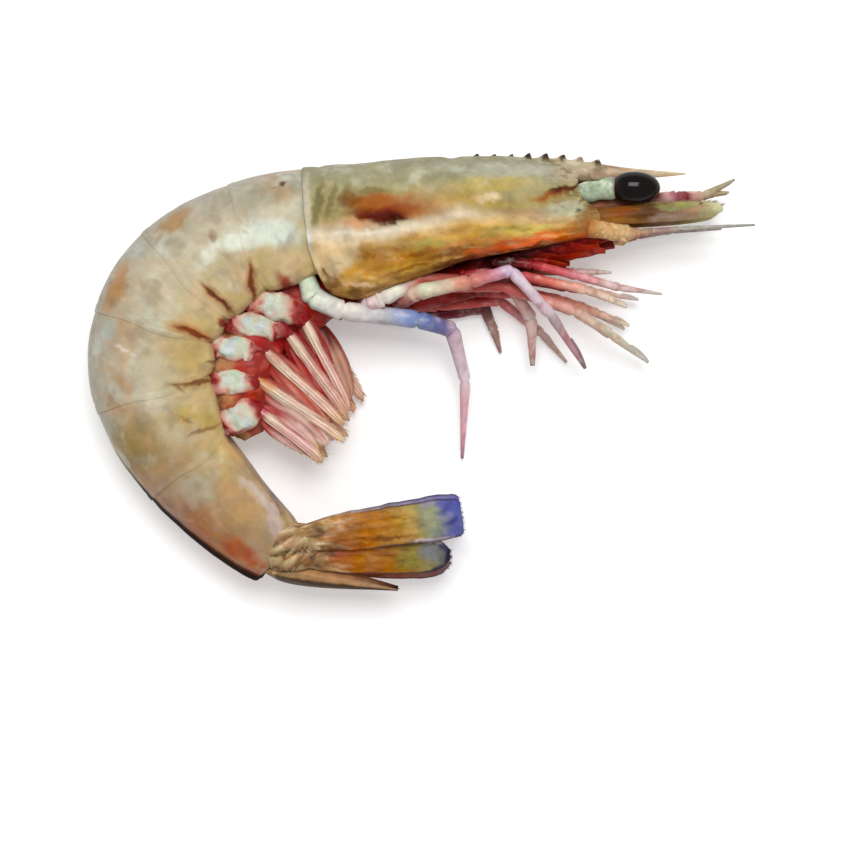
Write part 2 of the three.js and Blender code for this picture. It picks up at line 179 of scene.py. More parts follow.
def patch(tint, colour, strength, points, size, seed, low=0.1, high=0.6):
    """Cloudy patches of a colour, which begin and are full at two values of the cloud."""
    return blend(tint, colour, strength * ease(low, high, cloud(points, size, seed)))


def shade(tint, change):
    """A tint made lighter or darker by a share for each point."""
    return tint * (1.0 + change)[..., None]


def pixels(points):
    """Where points are in the photograph, which is taken from straight above."""
    nearer = CAMERA_HEIGHT / (CAMERA_HEIGHT - np.abs(points[..., 2]))
    column = NECK_PIXEL[0] + points[..., 0] / PIXEL - PHOTO_MIDDLE
    row = NECK_PIXEL[1] - points[..., 1] / PIXEL - PHOTO_MIDDLE
    return PHOTO_MIDDLE + nearer * column, PHOTO_MIDDLE + nearer * row


def mark(points, tint, marks, wobble=3.0):
    """Soft oval marks: colour, middle x and y in the photo, half length, half width, turn, strength."""
    flat = points.copy()
    flat[..., 2] = np.abs(flat[..., 2])
    column, row = pixels(points)
    column = column + wobble * (noise(flat, 1.6, 3) + 0.6 * noise(flat, 0.55, 5))
    row = row + wobble * (noise(flat, 1.6, 4) + 0.6 * noise(flat, 0.55, 6))
    for colour, x, y, length, width, turn, strength in marks:
        c, s, _ = direction(turn)
        along = ((column - x) * c - (row - y) * s) / length
        across = ((column - x) * s + (row - y) * c) / width
        tint = blend(tint, colour, strength * (1.0 - ease(0.5, 1.3, np.hypot(along, across))))
    return tint


# Building meshes

class Skin:
    """Closed skins over rings of points, gathered into one piece."""

    def __init__(self):
        self.points = []
        self.faces = []
        self.tints = []
        self.count = 0

    def add(self, grid, tint):
        rows, sides, _ = grid.shape
        tint = np.broadcast_to(tint, grid.shape)
        points = np.vstack([grid.reshape(-1, 3), grid[0].mean(0), grid[-1].mean(0)])
        row, side = np.meshgrid(np.arange(rows - 1), np.arange(sides), indexing="ij")
        here = row * sides + side
        beside = row * sides + (side + 1) % sides
        quads = np.stack([here, beside, beside + sides, here + sides], -1).reshape(-1, 4)
        ring = np.arange(sides)
        after = (ring + 1) % sides
        first = np.full(sides, rows * sides)
        last = (rows - 1) * sides
        fans = np.vstack([np.stack([first, after, ring], -1),
                          np.stack([first + 1, last + ring, last + after], -1)])
        halves = np.vstack([quads[:, [0, 1, 2]], quads[:, [0, 2, 3]], fans])
        corners = points[halves]
        volume = np.einsum("ij,ij->", corners[:, 0], np.cross(corners[:, 1], corners[:, 2]))
        if volume < 0:
            quads = quads[:, ::-1]
            fans = fans[:, ::-1]
        self.faces += (quads + self.count).tolist() + (fans + self.count).tolist()
        self.points.append(points)
        self.tints.append(np.vstack([tint.reshape(-1, 3), tint[0].mean(0), tint[-1].mean(0)]))
        self.count += len(points)

    def make(self, node, material, replaces=True):
        name = f"prawn_{node}"
        points = np.vstack(self.points)
        points[:, 2] = np.maximum(points[:, 2], TABLE)
        mesh = bpy.data.meshes.new(name)
        mesh.from_pydata(((points + NECK) * MM).tolist(), [], self.faces)
        colour = np.ones((self.count, 4))
        colour[:, :3] = np.clip(np.vstack(self.tints), 0.0, 1.0)
        layer = mesh.color_attributes.new("tint", "FLOAT_COLOR", "POINT")
        layer.data.foreach_set("color", colour.ravel())
        mesh.shade_smooth()
        mesh.materials.append(material)
        piece = bpy.data.objects.new(name, mesh)
        bpy.context.scene.collection.objects.link(piece)
        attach(piece, "root")
        if replaces:
            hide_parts(node)


def tube(path, radii, sides, squash=1.0):
    """Rings of the given radii along a path of points."""
    path = np.asarray(path, float)
    travel = np.gradient(path, axis=0)
    travel /= np.linalg.norm(travel, axis=1)[:, None]
    up = np.array([0.0, 0.0, 1.0]) - travel * travel[:, 2:3]
    up /= np.linalg.norm(up, axis=1)[:, None]
    across = np.cross(travel, up)
    angle = around(sides)[..., None]
    ring = squash * np.cos(angle) * up[:, None, :] + np.sin(angle) * across[:, None, :]
    return path[:, None, :] + np.asarray(radii)[:, None, None] * ring


def place(points, x, y, z, heading, droop, roll):
    """Roll points about their length, let them droop, point them and move them into place."""
    a, b, c = (math.radians(v) for v in (roll, droop, heading))
    turn_x = np.array([[1, 0, 0], [0, math.cos(a), -math.sin(a)], [0, math.sin(a), math.cos(a)]])
    turn_y = np.array([[math.cos(b), 0, math.sin(b)], [0, 1, 0], [-math.sin(b), 0, math.cos(b)]])
    turn_z = np.array([[math.cos(c), -math.sin(c), 0], [math.sin(c), math.cos(c), 0], [0, 0, 1]])
    return points @ (turn_z @ turn_y @ turn_x).T + np.array([x, y, z])


def blade_grid(length, shares, half_widths, half_thicknesses, rows, sides):
    """A flat blade along x, with its share of length and its places across and through it, from -1 to 1."""
    share = np.linspace(0.0, 1.0, rows)[:, None] * np.ones((1, sides))
    across = np.sin(around(sides)) * np.ones((rows, 1))
    face = np.cos(around(sides)) * np.ones((rows, 1))
    half_width = curve(shares, half_widths)(share)
    half_thickness = curve(shares, half_thicknesses)(share)
    grid = np.stack([share * length, half_width * across, half_thickness * face], axis=-1)
    return grid, share, across, face


def bristles(skin, roots, leans, pose, lengths, radius, colour):
    """Fine three-sided bristles that lean sideways from a blade and droop."""
    aims = np.stack([np.ones_like(leans), leans, np.zeros_like(leans)], -1)
    ends = place(roots + aims, *pose)
    starts = place(roots, *pose)
    for start, aim, length in zip(starts, ends - starts, lengths):
        aim = aim / np.linalg.norm(aim)
        path = np.array([start, start + 0.5 * length * aim, start + length * aim])
        path[1:, 2] -= np.array([0.02, 0.08]) * length
        skin.add(tube(path, [radius, 0.7 * radius, 0.15 * radius], 3), linear(colour))


# Materials

def set_sockets(node, values):
    for socket, value in values.items():
        node.inputs[socket].default_value = value


def skin_material(name, rough, shine, coat, flesh, mottle, speckle, speckle_colour, relief, grain=900.0):
    """Wet shell or flesh: painted tint, cloudy mottling, fine pigment dots and a pitted surface."""
    material = bpy.data.materials.new(name)
    material.use_nodes = True
    nodes = material.node_tree.nodes
    links = material.node_tree.links
    shader = nodes["Principled BSDF"]
    set_sockets(shader, {"Coat Weight": coat, "Coat Roughness": 0.12, "IOR": 1.4, "Specular IOR Level": shine,
                         "Subsurface Weight": flesh, "Subsurface Radius": (0.0022, 0.0012, 0.0007),
                         "Subsurface Scale": 1.0})
    tint = nodes.new("ShaderNodeAttribute")
    tint.attribute_name = "tint"
    where = nodes.new("ShaderNodeTexCoord")

    def texture(kind, scale, **sockets):
        node = nodes.new(kind)
        set_sockets(node, {"Scale": scale, **sockets})
        links.new(where.outputs["Object"], node.inputs["Vector"])
        return node

    def spread(value, low, high, to_low, to_high):
        node = nodes.new("ShaderNodeMapRange")
        set_sockets(node, {"From Min": low, "From Max": high, "To Min": to_low, "To Max": to_high})
        links.new(value, node.inputs["Value"])
        return node.outputs["Result"]

    clouds = texture("ShaderNodeTexNoise", grain * 0.45, Detail=5.0, Roughness=0.6)
    toned = nodes.new("ShaderNodeHueSaturation")
    links.new(tint.outputs["Color"], toned.inputs["Color"])
    links.new(spread(clouds.outputs["Fac"], 0.3, 0.7, 1.0 - mottle, 1.0 + mottle), toned.inputs["Value"])
    tone = texture("ShaderNodeTexNoise", grain * 0.3, Detail=3.0)
    links.new(spread(tone.outputs["Fac"], 0.3, 0.7, 1.0 - 0.4 * mottle, 1.0 + 0.4 * mottle),
              toned.inputs["Saturation"])
    dots = texture("ShaderNodeTexVoronoi", grain * 2.6)
    patches = texture("ShaderNodeTexNoise", grain * 0.35, Detail=2.0)
    dot = spread(dots.outputs["Distance"], 0.12, 0.3, 1.0, 0.0)
    where_dotted = spread(patches.outputs["Fac"], 0.45, 0.65, 0.0, speckle)
    both = nodes.new("ShaderNodeMath")
    both.operation = "MULTIPLY"
    links.new(dot, both.inputs[0])
    links.new(where_dotted, both.inputs[1])
    mix = nodes.new("ShaderNodeMix")
    mix.data_type = "RGBA"
    links.new(both.outputs[0], mix.inputs["Factor"])
    links.new(toned.outputs["Color"], mix.inputs["A"])
    mix.inputs["B"].default_value = (*linear(speckle_colour), 1.0)
    links.new(mix.outputs["Result"], shader.inputs["Base Color"])
    gloss = texture("ShaderNodeTexNoise", grain * 0.8, Detail=3.0)
    links.new(spread(gloss.outputs["Fac"], 0.3, 0.7, rough - 0.08, rough + 0.1), shader.inputs["Roughness"])
    pits = texture("ShaderNodeTexNoise", grain * 2.2, Detail=4.0, Roughness=0.65)
    dent = nodes.new("ShaderNodeBump")
    set_sockets(dent, {"Strength": relief, "Distance": 0.0002})
    links.new(pits.outputs["Fac"], dent.inputs["Height"])
    links.new(dent.outputs["Normal"], shader.inputs["Normal"])
    return material


TAIL_SKIN = skin_material("tail_skin", 0.42, 0.12, 0.05, 0.06, 0.12, 0.22, "#6b5a3a", 0.4)
HEAD_SKIN = skin_material("head_skin", 0.42, 0.03, 0.02, 0.04, 0.14, 0.25, "#4e3a1c", 0.45)
FAN_SKIN = skin_material("fan_skin", 0.42, 0.08, 0.04, 0.03, 0.16, 0.5, "#3c2a1a", 0.5)
LEG_SKIN = skin_material("leg_skin", 0.36, 0.25, 0.1, 0.12, 0.08, 0.3, "#8a4a48", 0.3, 1300.0)
PINK_LEG_SKIN = skin_material("pink_leg_skin", 0.38, 0.25, 0.1, 0.12, 0.1, 0.35, "#8a3a34", 0.3, 1300.0)
PADDLE_SKIN = skin_material("paddle_skin", 0.4, 0.14, 0.07, 0.1, 0.1, 0.35, "#94352c", 0.35, 1300.0)
MEMBRANE_SKIN = skin_material("membrane_skin", 0.38, 0.08, 0.05, 0.05, 0.2, 0.5, "#3c0d0b", 0.6)
FEELER_SKIN = skin_material("feeler_skin", 0.4, 0.08, 0.04, 0.05, 0.14, 0.55, "#3c2412", 0.4, 1200.0)
STALK_SKIN = skin_material("stalk_skin", 0.36, 0.25, 0.1, 0.08, 0.12, 0.5, "#4a3a28", 0.35, 1300.0)
EYE_SKIN = skin_material("eye_skin", 0.14, 0.02, 0.35, 0.0, 0.2, 0.4, "#1c0c0a", 0.06, 2400.0)


# The spine of the tail and the body's cross-section

joint_at = np.concatenate([[0.0], np.cumsum(SEGMENT_LENGTH)])
joint_heading = 180 + HEAD_PITCH + np.concatenate([[0.0], np.cumsum(SEGMENT_BEND)])
heading_at = curve(joint_at, joint_heading)
STEP = 0.02
spine_at = np.arange(0.0, joint_at[-1] + 3.0, STEP)
middle_heading = np.radians(heading_at(spine_at[:-1] + STEP / 2))
spine_x = np.concatenate([[0.0], np.cumsum(np.cos(middle_heading)) * STEP])
spine_y = np.concatenate([[0.0], np.cumsum(np.sin(middle_heading)) * STEP])
tail_height = curve(joint_at, TAIL_HEIGHT)
tail_depth = curve(joint_at, TAIL_DEPTH)
tail_half_width = curve(joint_at, TAIL_HALF_WIDTH)
side_plate = curve(joint_at, SIDE_PLATE)
shell_height = curve(SHELL_AT, SHELL_HEIGHT)
shell_depth = curve(SHELL_AT, SHELL_DEPTH)
shell_half_width = curve(SHELL_AT, SHELL_HALF_WIDTH)


def on_body(at, rise, side):
    """The place at a distance back along the spine, so far towards the back and so far to the side."""
    heading = np.radians(heading_at(np.maximum(at, 0.0)))
    ahead = np.minimum(at, 0.0)
    x = np.interp(at, spine_at, spine_x) + ahead * math.cos(math.radians(joint_heading[0]))
    y = np.interp(at, spine_at, spine_y) + ahead * math.sin(math.radians(joint_heading[0]))
    return np.stack([x + rise * np.sin(heading), y - rise * np.cos(heading), side * np.ones_like(x)], axis=-1)


def even_body(at, unit_rise, unit_side):
    """Places on a body of one size all along, where the noise is taken."""
    return on_body(at, unit_rise * EVEN_HEIGHT, unit_side * EVEN_HALF_WIDTH)


def section(angle):
    """Unit rise and side of the body outline at an angle from the middle of the back."""
    c = np.cos(angle)
    s = np.sin(angle)
    power = np.where(c >= 0, BACK_ROUNDNESS, BELLY_ROUNDNESS)
    return np.sign(c) * np.abs(c) ** power, np.sign(s) * np.abs(s) ** power


def body_section(unit_rise, unit_side, height, depth, half_width, hollow, relief):
    """Rise and side of the outline, pushed out by the relief."""
    inner = np.maximum(0.0, 1.0 - (unit_side / BELLY_SHARE) ** 2)
    below = depth * unit_rise + hollow * inner
    rise = np.where(unit_rise >= 0, height * unit_rise, below)
    side = half_width * unit_side
    out_rise = unit_rise / np.where(unit_rise >= 0, height, depth)
    out_side = unit_side / half_width
    size = np.hypot(out_rise, out_side) + 1e-9
    return rise + relief * out_rise / size, side + relief * out_side / size


# Tail segments

TAIL_STOPS = [(0.0, "#c9ad7c"), (0.18, "#c4ab76"), (0.38, "#c0b08a"), (0.58, "#c3b99f"), (0.78, "#b4aa92"),
              (1.0, "#a59f90")]
FAN_END_STOPS = [(0.0, "#a58a6c"), (0.2, "#b39668"), (0.45, "#aa8d66"), (0.75, "#a07c58"), (1.0, "#966242")]
TAIL_MARKS = [
    ("#a97f4c", 172, 224, 24, 8, 38, 0.75), ("#a5743f", 117, 288, 28, 8, 68, 0.75),
    ("#b58a60", 118, 396, 13, 24, -14, 0.6), ("#b07f55", 150, 470, 20, 30, -30, 0.3),
    ("#aeb2a6", 132, 250, 16, 12, 45, 0.6), ("#a6b2ae", 108, 338, 20, 14, 80, 0.7),
    ("#a3aa9c", 118, 440, 14, 22, 20, 0.45), ("#a9ab97", 198, 488, 22, 15, -30, 0.55),
    ("#a8ae9f", 300, 188, 12, 20, 80, 0.5), ("#ced8c9", 276, 233, 30, 15, 0, 0.9),
    ("#dfe2d0", 236, 240, 24, 11, 8, 0.95), ("#d8dac8", 206, 257, 20, 7, 50, 0.75),
    ("#cfc6ae", 165, 300, 22, 8, 80, 0.45), ("#cdba90", 240, 265, 24, 12, 0, 0.5),
    ("#cfb48e", 288, 268, 10, 18, 0, 0.6), ("#b79a50", 188, 355, 26, 18, -30, 0.55),
    ("#bd9f55", 196, 417, 24, 13, -10, 0.5), ("#bfa565", 215, 452, 22, 14, 30, 0.5),
    ("#cda06a", 236, 452, 18, 9, -30, 0.6), ("#cfae88", 205, 300, 22, 10, -40, 0.4),
    ("#a9542b", 243, 556, 30, 13, -35, 0.85), ("#b0653d", 205, 535, 26, 9, -40, 0.6),
    ("#b3a295", 262, 500, 30, 6, -46, 0.75), ("#d2c2b2", 252, 492, 22, 5, -46, 0.5),
    ("#74585c", 277, 503, 26, 4, -60, 0.85), ("#967c42", 142, 442, 34, 24, -52, 0.75),
    ("#ba9060", 236, 500, 28, 16, -46, 0.7), ("#9c9880", 268, 192, 34, 13, 14, 0.75),
    ("#94783c", 128, 455, 30, 22, -60, 0.6), ("#c9a472", 176, 322, 20, 12, -20, 0.5),
    ("#c8b0b0", 276, 527, 7, 22, 18, 0.65), ("#a06c48", 196, 515, 24, 12, -40, 0.6),
    # The near-white marks #f0ede4 and #ead8d0 are painted highlights, small glints on the wet shell.
    ("#a8481c", 243, 560, 22, 10, -30, 0.85), ("#f0ede4", 122, 349, 7, 2.4, -42, 0.8),
    ("#ead8d0", 134, 357, 4, 1.8, -42, 0.7), ("#a2895a", 178, 462, 30, 20, -40, 0.45),
]
BAR_MARKS = [
    ("#a8703c", 252, 281, 24, 6.5, -84, 0.65), ("#6e2f12", 252, 282, 22, 3.0, -84, 0.95),
    ("#a87040", 217, 298, 26, 6.0, -43, 0.65), ("#642a10", 218, 299, 22, 2.8, -43, 0.95),
    ("#b0743f", 191, 332, 26, 6.5, -21, 0.65), ("#76300f", 193, 333, 22, 3.0, -21, 0.95),
    ("#a8824a", 193, 383, 28, 6.0, 6, 0.5), ("#6e3c16", 194, 383, 24, 2.4, 6, 0.85),
    ("#6e4420", 178, 388, 8, 2.2, -30, 0.7), ("#7a4c24", 203, 430, 18, 2.2, 22, 0.7),
    ("#86562c", 186, 420, 10, 1.8, -20, 0.6), ("#93311f", 246, 433, 24, 5, 25, 0.7),
    ("#8d261b", 290, 291, 22, 7, -55, 0.9), ("#7e1a12", 223, 324, 7, 5, -30, 0.9),
    ("#7a4a2a", 213, 362, 9, 2.6, 10, 0.7), ("#3e302a", 281, 183, 4, 3.4, 0, 0.9),
    ("#7a6a60", 275, 188, 5, 1.4, 30, 0.6), ("#7a5a50", 213, 236, 4, 6, 0, 0.6),
]


def tail_segment(index):
    front = joint_at[index]
    rear = joint_at[index + 1]
    length = rear - front
    last = index == len(SEGMENT_LENGTH) - 1
    angle = around(210)
    unit_rise, unit_side = section(angle)
    flank = bump(unit_rise + 0.25, 0.4)
    belly = ease(-0.6, -1.0, unit_rise)
    end = rear + (0.0 if last else 0.6 + 0.9 * flank - 1.0 * belly)
    at = (front - 2.0) + np.linspace(0.0, 1.0, 80)[:, None] * (end - front + 2.0)
    share = (at - front) / length
    swell = curve([-0.3, 0.0, 0.1, 0.45, 0.85, 1.1], [0.95, 0.982, 0.99, 1.0, 1.001, 1.001])(share)
    if last:
        swell = swell * curve([0.0, 0.8, 0.93, 0.985, 1.0], [1.0, 1.0, 0.99, 0.93, 0.8])(share)
    lip = np.array([1.0, 0.9985, 0.994, 0.99, 0.987, 0.975])[:, None]
    back_off = np.array([-0.06, -0.1, -0.1, 0.0, 0.6, 2.2])[:, None]
    at = np.vstack([at, end - back_off])
    swell = np.vstack([swell, swell[-1:] * lip])
    share = (at - front) / length
    lobe = side_plate(at) - 0.07 * np.minimum(1.0, np.abs(2 * share - 1)) ** 3
    rough = even_body(at, unit_rise, unit_side)
    from_top = np.minimum(angle, 2 * np.pi - angle)
    keel = 0.25 * bump(from_top, 0.12) * ease(2.5, 4.5, index + share)
    keel = keel + 1.1 * bump(from_top, 0.07) * ease(4.3, 6.0, index + share)
    to_rim = end - at
    groove = -0.05 * bump(to_rim - 1.1, 0.25) + 0.03 * bump(to_rim - 0.5, 0.3)
    relief = 0.12 * noise(rough, 5.0, 11) + 0.05 * noise(rough, 1.6, 12) + keel + groove
    rise, side = body_section(unit_rise, unit_side, swell * tail_height(at), swell * lobe * tail_depth(at),
                              swell * tail_half_width(at), swell * BELLY_HOLLOW, relief)
    grid = on_body(at, rise, side)
    height = np.clip(0.5 + 0.5 * unit_rise + 0.06 * noise(rough, 4.0, 13), 0.0, 1.0)
    towards_fan = ease(4.3, 5.5, index + share + 0.15 * noise(rough, 5.0, 17))
    tint = blend(ramp(height, TAIL_STOPS), ramp(height, FAN_END_STOPS), towards_fan)
    tint = mark(grid, tint, TAIL_MARKS)
    tint = blend(tint, "#c8c4b2", 0.12 * bump(to_rim - 0.3, 0.35) * ease(-0.5, 0.3, unit_rise))
    upper = ease(-0.3, 0.6, unit_rise)
    tint = patch(tint, "#b4854f", 0.5 * upper, rough, 5.0, 16)
    tint = patch(tint, "#b09652", 0.55 * (1.0 - upper), rough, 4.0, 26, 0.05, 0.55)
    tint = patch(tint, "#ccd3c3", 0.42 - 0.22 * towards_fan, rough, 3.4, 36, 0.12)
    tint = patch(tint, "#94856c", 0.5, rough, 2.6, 46)
    tint = patch(tint, "#c79a78", 0.3, rough, 2.2, 56, 0.15)
    tint = mark(grid, tint, BAR_MARKS, 2.0)
    tint = blend(tint, "#8c3325", 0.6 * ease(-0.96, -1.0, unit_rise) * (0.0 if last else 1.0))
    tint = shade(tint, 0.08 * noise(rough, 2.2, 14) + 0.07 * noise(rough, 0.8, 15) - 0.05)
    keel_line = (1.0 - ease(0.07, 0.15, from_top)) * ease(4.1, 4.9, index + share)
    tint = blend(tint, "#0e0808", 0.97 * keel_line)
    skin = Skin()
    skin.add(grid, tint)
    skin.make(f"abdomen_{index + 1}", TAIL_SKIN)


for segment in range(len(SEGMENT_LENGTH)):
    tail_segment(segment)


# Head shell with its toothed beak

# The line in the photo that parts the top of the head shell from the gill cover.
BAND_X = [300, 330, 380, 420, 460, 520, 560, 610]
BAND_Y = [233, 234, 233, 223, 213, 215, 215, 211]
HEAD_UPPER_STOPS = [(0.0, "#a8945e"), (0.35, "#a29668"), (0.7, "#9b9676"), (1.0, "#949079")]
HEAD_UPPER_MARKS = [
    ("#5f5a30", 318, 206, 26, 5, 82, 0.7), ("#6a6032", 331, 200, 22, 4, 76, 0.6),
    ("#73653a", 344, 196, 16, 5, 70, 0.5), ("#b68d56", 420, 204, 62, 16, 4, 0.6),
    ("#cfa688", 358, 227, 34, 6, -3, 0.7), ("#c3aa5b", 492, 184, 42, 9, 2, 0.6),
    # The pale mark #e6d0b0 is a painted highlight, a small glint on the shell.
    ("#a88e3e", 487, 207, 30, 6, 0, 0.85), ("#e6d0b0", 487, 198, 13, 5, 0, 0.75),
    ("#b4b2a2", 520, 171, 80, 7, -2, 0.6), ("#a5702c", 547, 197, 22, 6, 8, 0.65),
    ("#8a4416", 554, 194, 20, 4, 14, 0.8), ("#5a2010", 566, 189, 16, 3, 20, 0.9),
    ("#4a1c10", 556, 190, 8, 2, 8, 0.8), ("#33261a", 578, 183, 12, 1.4, 35, 0.75),
    ("#4a3a24", 588, 176, 10, 1.2, -10, 0.7), ("#4a3a24", 575, 203, 9, 1.2, 25, 0.6),
    ("#c3c6a6", 562, 214, 26, 9, 5, 0.75), ("#ac8660", 520, 216, 34, 6, 5, 0.75),
    ("#b8953c", 455, 200, 40, 7, 3, 0.4), ("#a8945a", 596, 214, 16, 10, 0, 0.6),
    ("#7a5a2c", 606, 207, 10, 4, 0, 0.6), ("#4a2a14", 600, 204, 14, 2.4, -4, 0.8),
    ("#b08a70", 575, 176, 24, 6, -6, 0.6), ("#8b8468", 425, 183, 6, 5, 0, 0.5),
    ("#efe6d6", 372, 232, 52, 2.0, 3, 0.8), ("#85765f", 352, 229, 34, 1.1, 0, 0.55),
    ("#d9c9b4", 566, 206, 14, 4, 20, 0.6),
]
HEAD_LOWER_STOPS = [(0.0, "#d0b98a"), (0.2, "#c69a52"), (0.5, "#c08a34"), (0.8, "#b38844"),
                    (1.0, "#a6743c")]
HEAD_LOWER_MARKS = [
    ("#cbb088", 326, 256, 20, 26, 0, 0.85), ("#b9a250", 432, 243, 30, 7, 6, 0.45),
    ("#c6b45c", 520, 231, 42, 7, 2, 0.65), ("#a8803a", 398, 261, 24, 7, 4, 0.4),
    ("#c98442", 480, 243, 44, 6, 10, 0.5), ("#cf9a72", 545, 220, 18, 5, -20, 0.4),
    ("#7a4a1c", 442, 256, 34, 3.5, 9, 0.55), ("#8a5424", 400, 276, 30, 3, -4, 0.5),
    ("#94703c", 372, 286, 34, 6, -6, 0.7), ("#8a5a26", 331, 282, 8, 7, 0, 0.85),
    ("#2c200c", 328, 291, 6, 3, 0, 0.85), ("#3c2c12", 324, 272, 7, 1.6, -55, 0.85),
    ("#4a3416", 336, 273, 14, 1.4, 32, 0.7), ("#5e4016", 341, 281, 4, 6, 0, 0.5),
    ("#5e3c18", 354, 293, 8, 5, -40, 0.75), ("#8a4f1c", 380, 252, 34, 4, 12, 0.55),
    ("#a08a3a", 391, 268, 12, 4, 8, 0.5), ("#7a3c16", 455, 252, 26, 4, 12, 0.6),
    ("#b0a24e", 432, 243, 16, 4, 4, 0.5), ("#d8b894", 357, 285, 16, 1.6, 0, 0.7),
    ("#de602a", 525, 243, 46, 8, 12, 0.9), ("#bc4420", 488, 252, 30, 7, 12, 0.7),
    ("#b9652c", 580, 230, 34, 7, 12, 0.7), ("#e3c08a", 606, 228, 16, 6, 10, 0.7),
    ("#a8401c", 575, 240, 44, 5, 12, 0.8), ("#6a2414", 514, 252, 78, 3.4, 13, 0.8),
    ("#5e2212", 456, 263, 32, 4.5, 14, 0.75), ("#9c5a1c", 420, 254, 30, 3, 14, 0.7),
    ("#d2bb92", 346, 254, 30, 11, 52, 0.85), ("#c79a5c", 356, 276, 26, 4, 40, 0.5),
    ("#a8681c", 385, 262, 26, 10, 12, 0.4), ("#74481c", 410, 268, 26, 2.4, 14, 0.7),
    ("#c2894c", 452, 246, 26, 3, 12, 0.55), ("#a8501c", 596, 232, 24, 6, 14, 0.8),
]
LIVER_MARKS = [
    ("#a86c38", 402, 207, 48, 12, -4, 0.7), ("#985018", 374, 203, 34, 10, -4, 0.8),
    ("#553408", 350, 199, 13, 9, 0, 0.5), ("#6c5a1c", 372, 191, 20, 4, -4, 0.6),
    ("#8a3c0c", 398, 211, 26, 7, 4, 0.7), ("#742606", 378, 215, 32, 8, -2, 0.9),
    ("#4e0a00", 381, 217, 22, 6, 0, 0.9), ("#340600", 394, 220, 12, 4, 8, 0.8),
    ("#d09a70", 356, 223, 16, 5, -8, 0.7), ("#e0b0a0", 386, 225, 6, 1.8, 0, 0.6),
]
RIM_MARKS = [
    ("#d6cfbd", 306, 225, 6, 52, 0, 0.55), ("#dfe5d6", 305, 240, 9, 12, 0, 0.7),
    ("#c9b98a", 303, 270, 4, 20, 0, 0.6), ("#d8c294", 313, 268, 8, 18, 0, 0.6),
    ("#b3a486", 574, 172, 22, 9, -6, 0.75), ("#8a6230", 592, 215, 15, 9, 0, 0.85),
    ("#64401c", 594, 207, 12, 3, -4, 0.8), ("#a8702e", 588, 224, 20, 6, 12, 0.75),
    ("#b7b89a", 574, 208, 14, 7, 10, 0.6), ("#5e4626", 584, 200, 12, 2, 30, 0.7),
    ("#33261a", 586, 192, 3, 2, 30, 0.7), ("#33261a", 578, 211, 2.4, 1.6, 0, 0.7),
    ("#33261a", 592, 199, 3, 1.6, -30, 0.7), ("#b4521e", 572, 238, 30, 5, 13, 0.6),
]


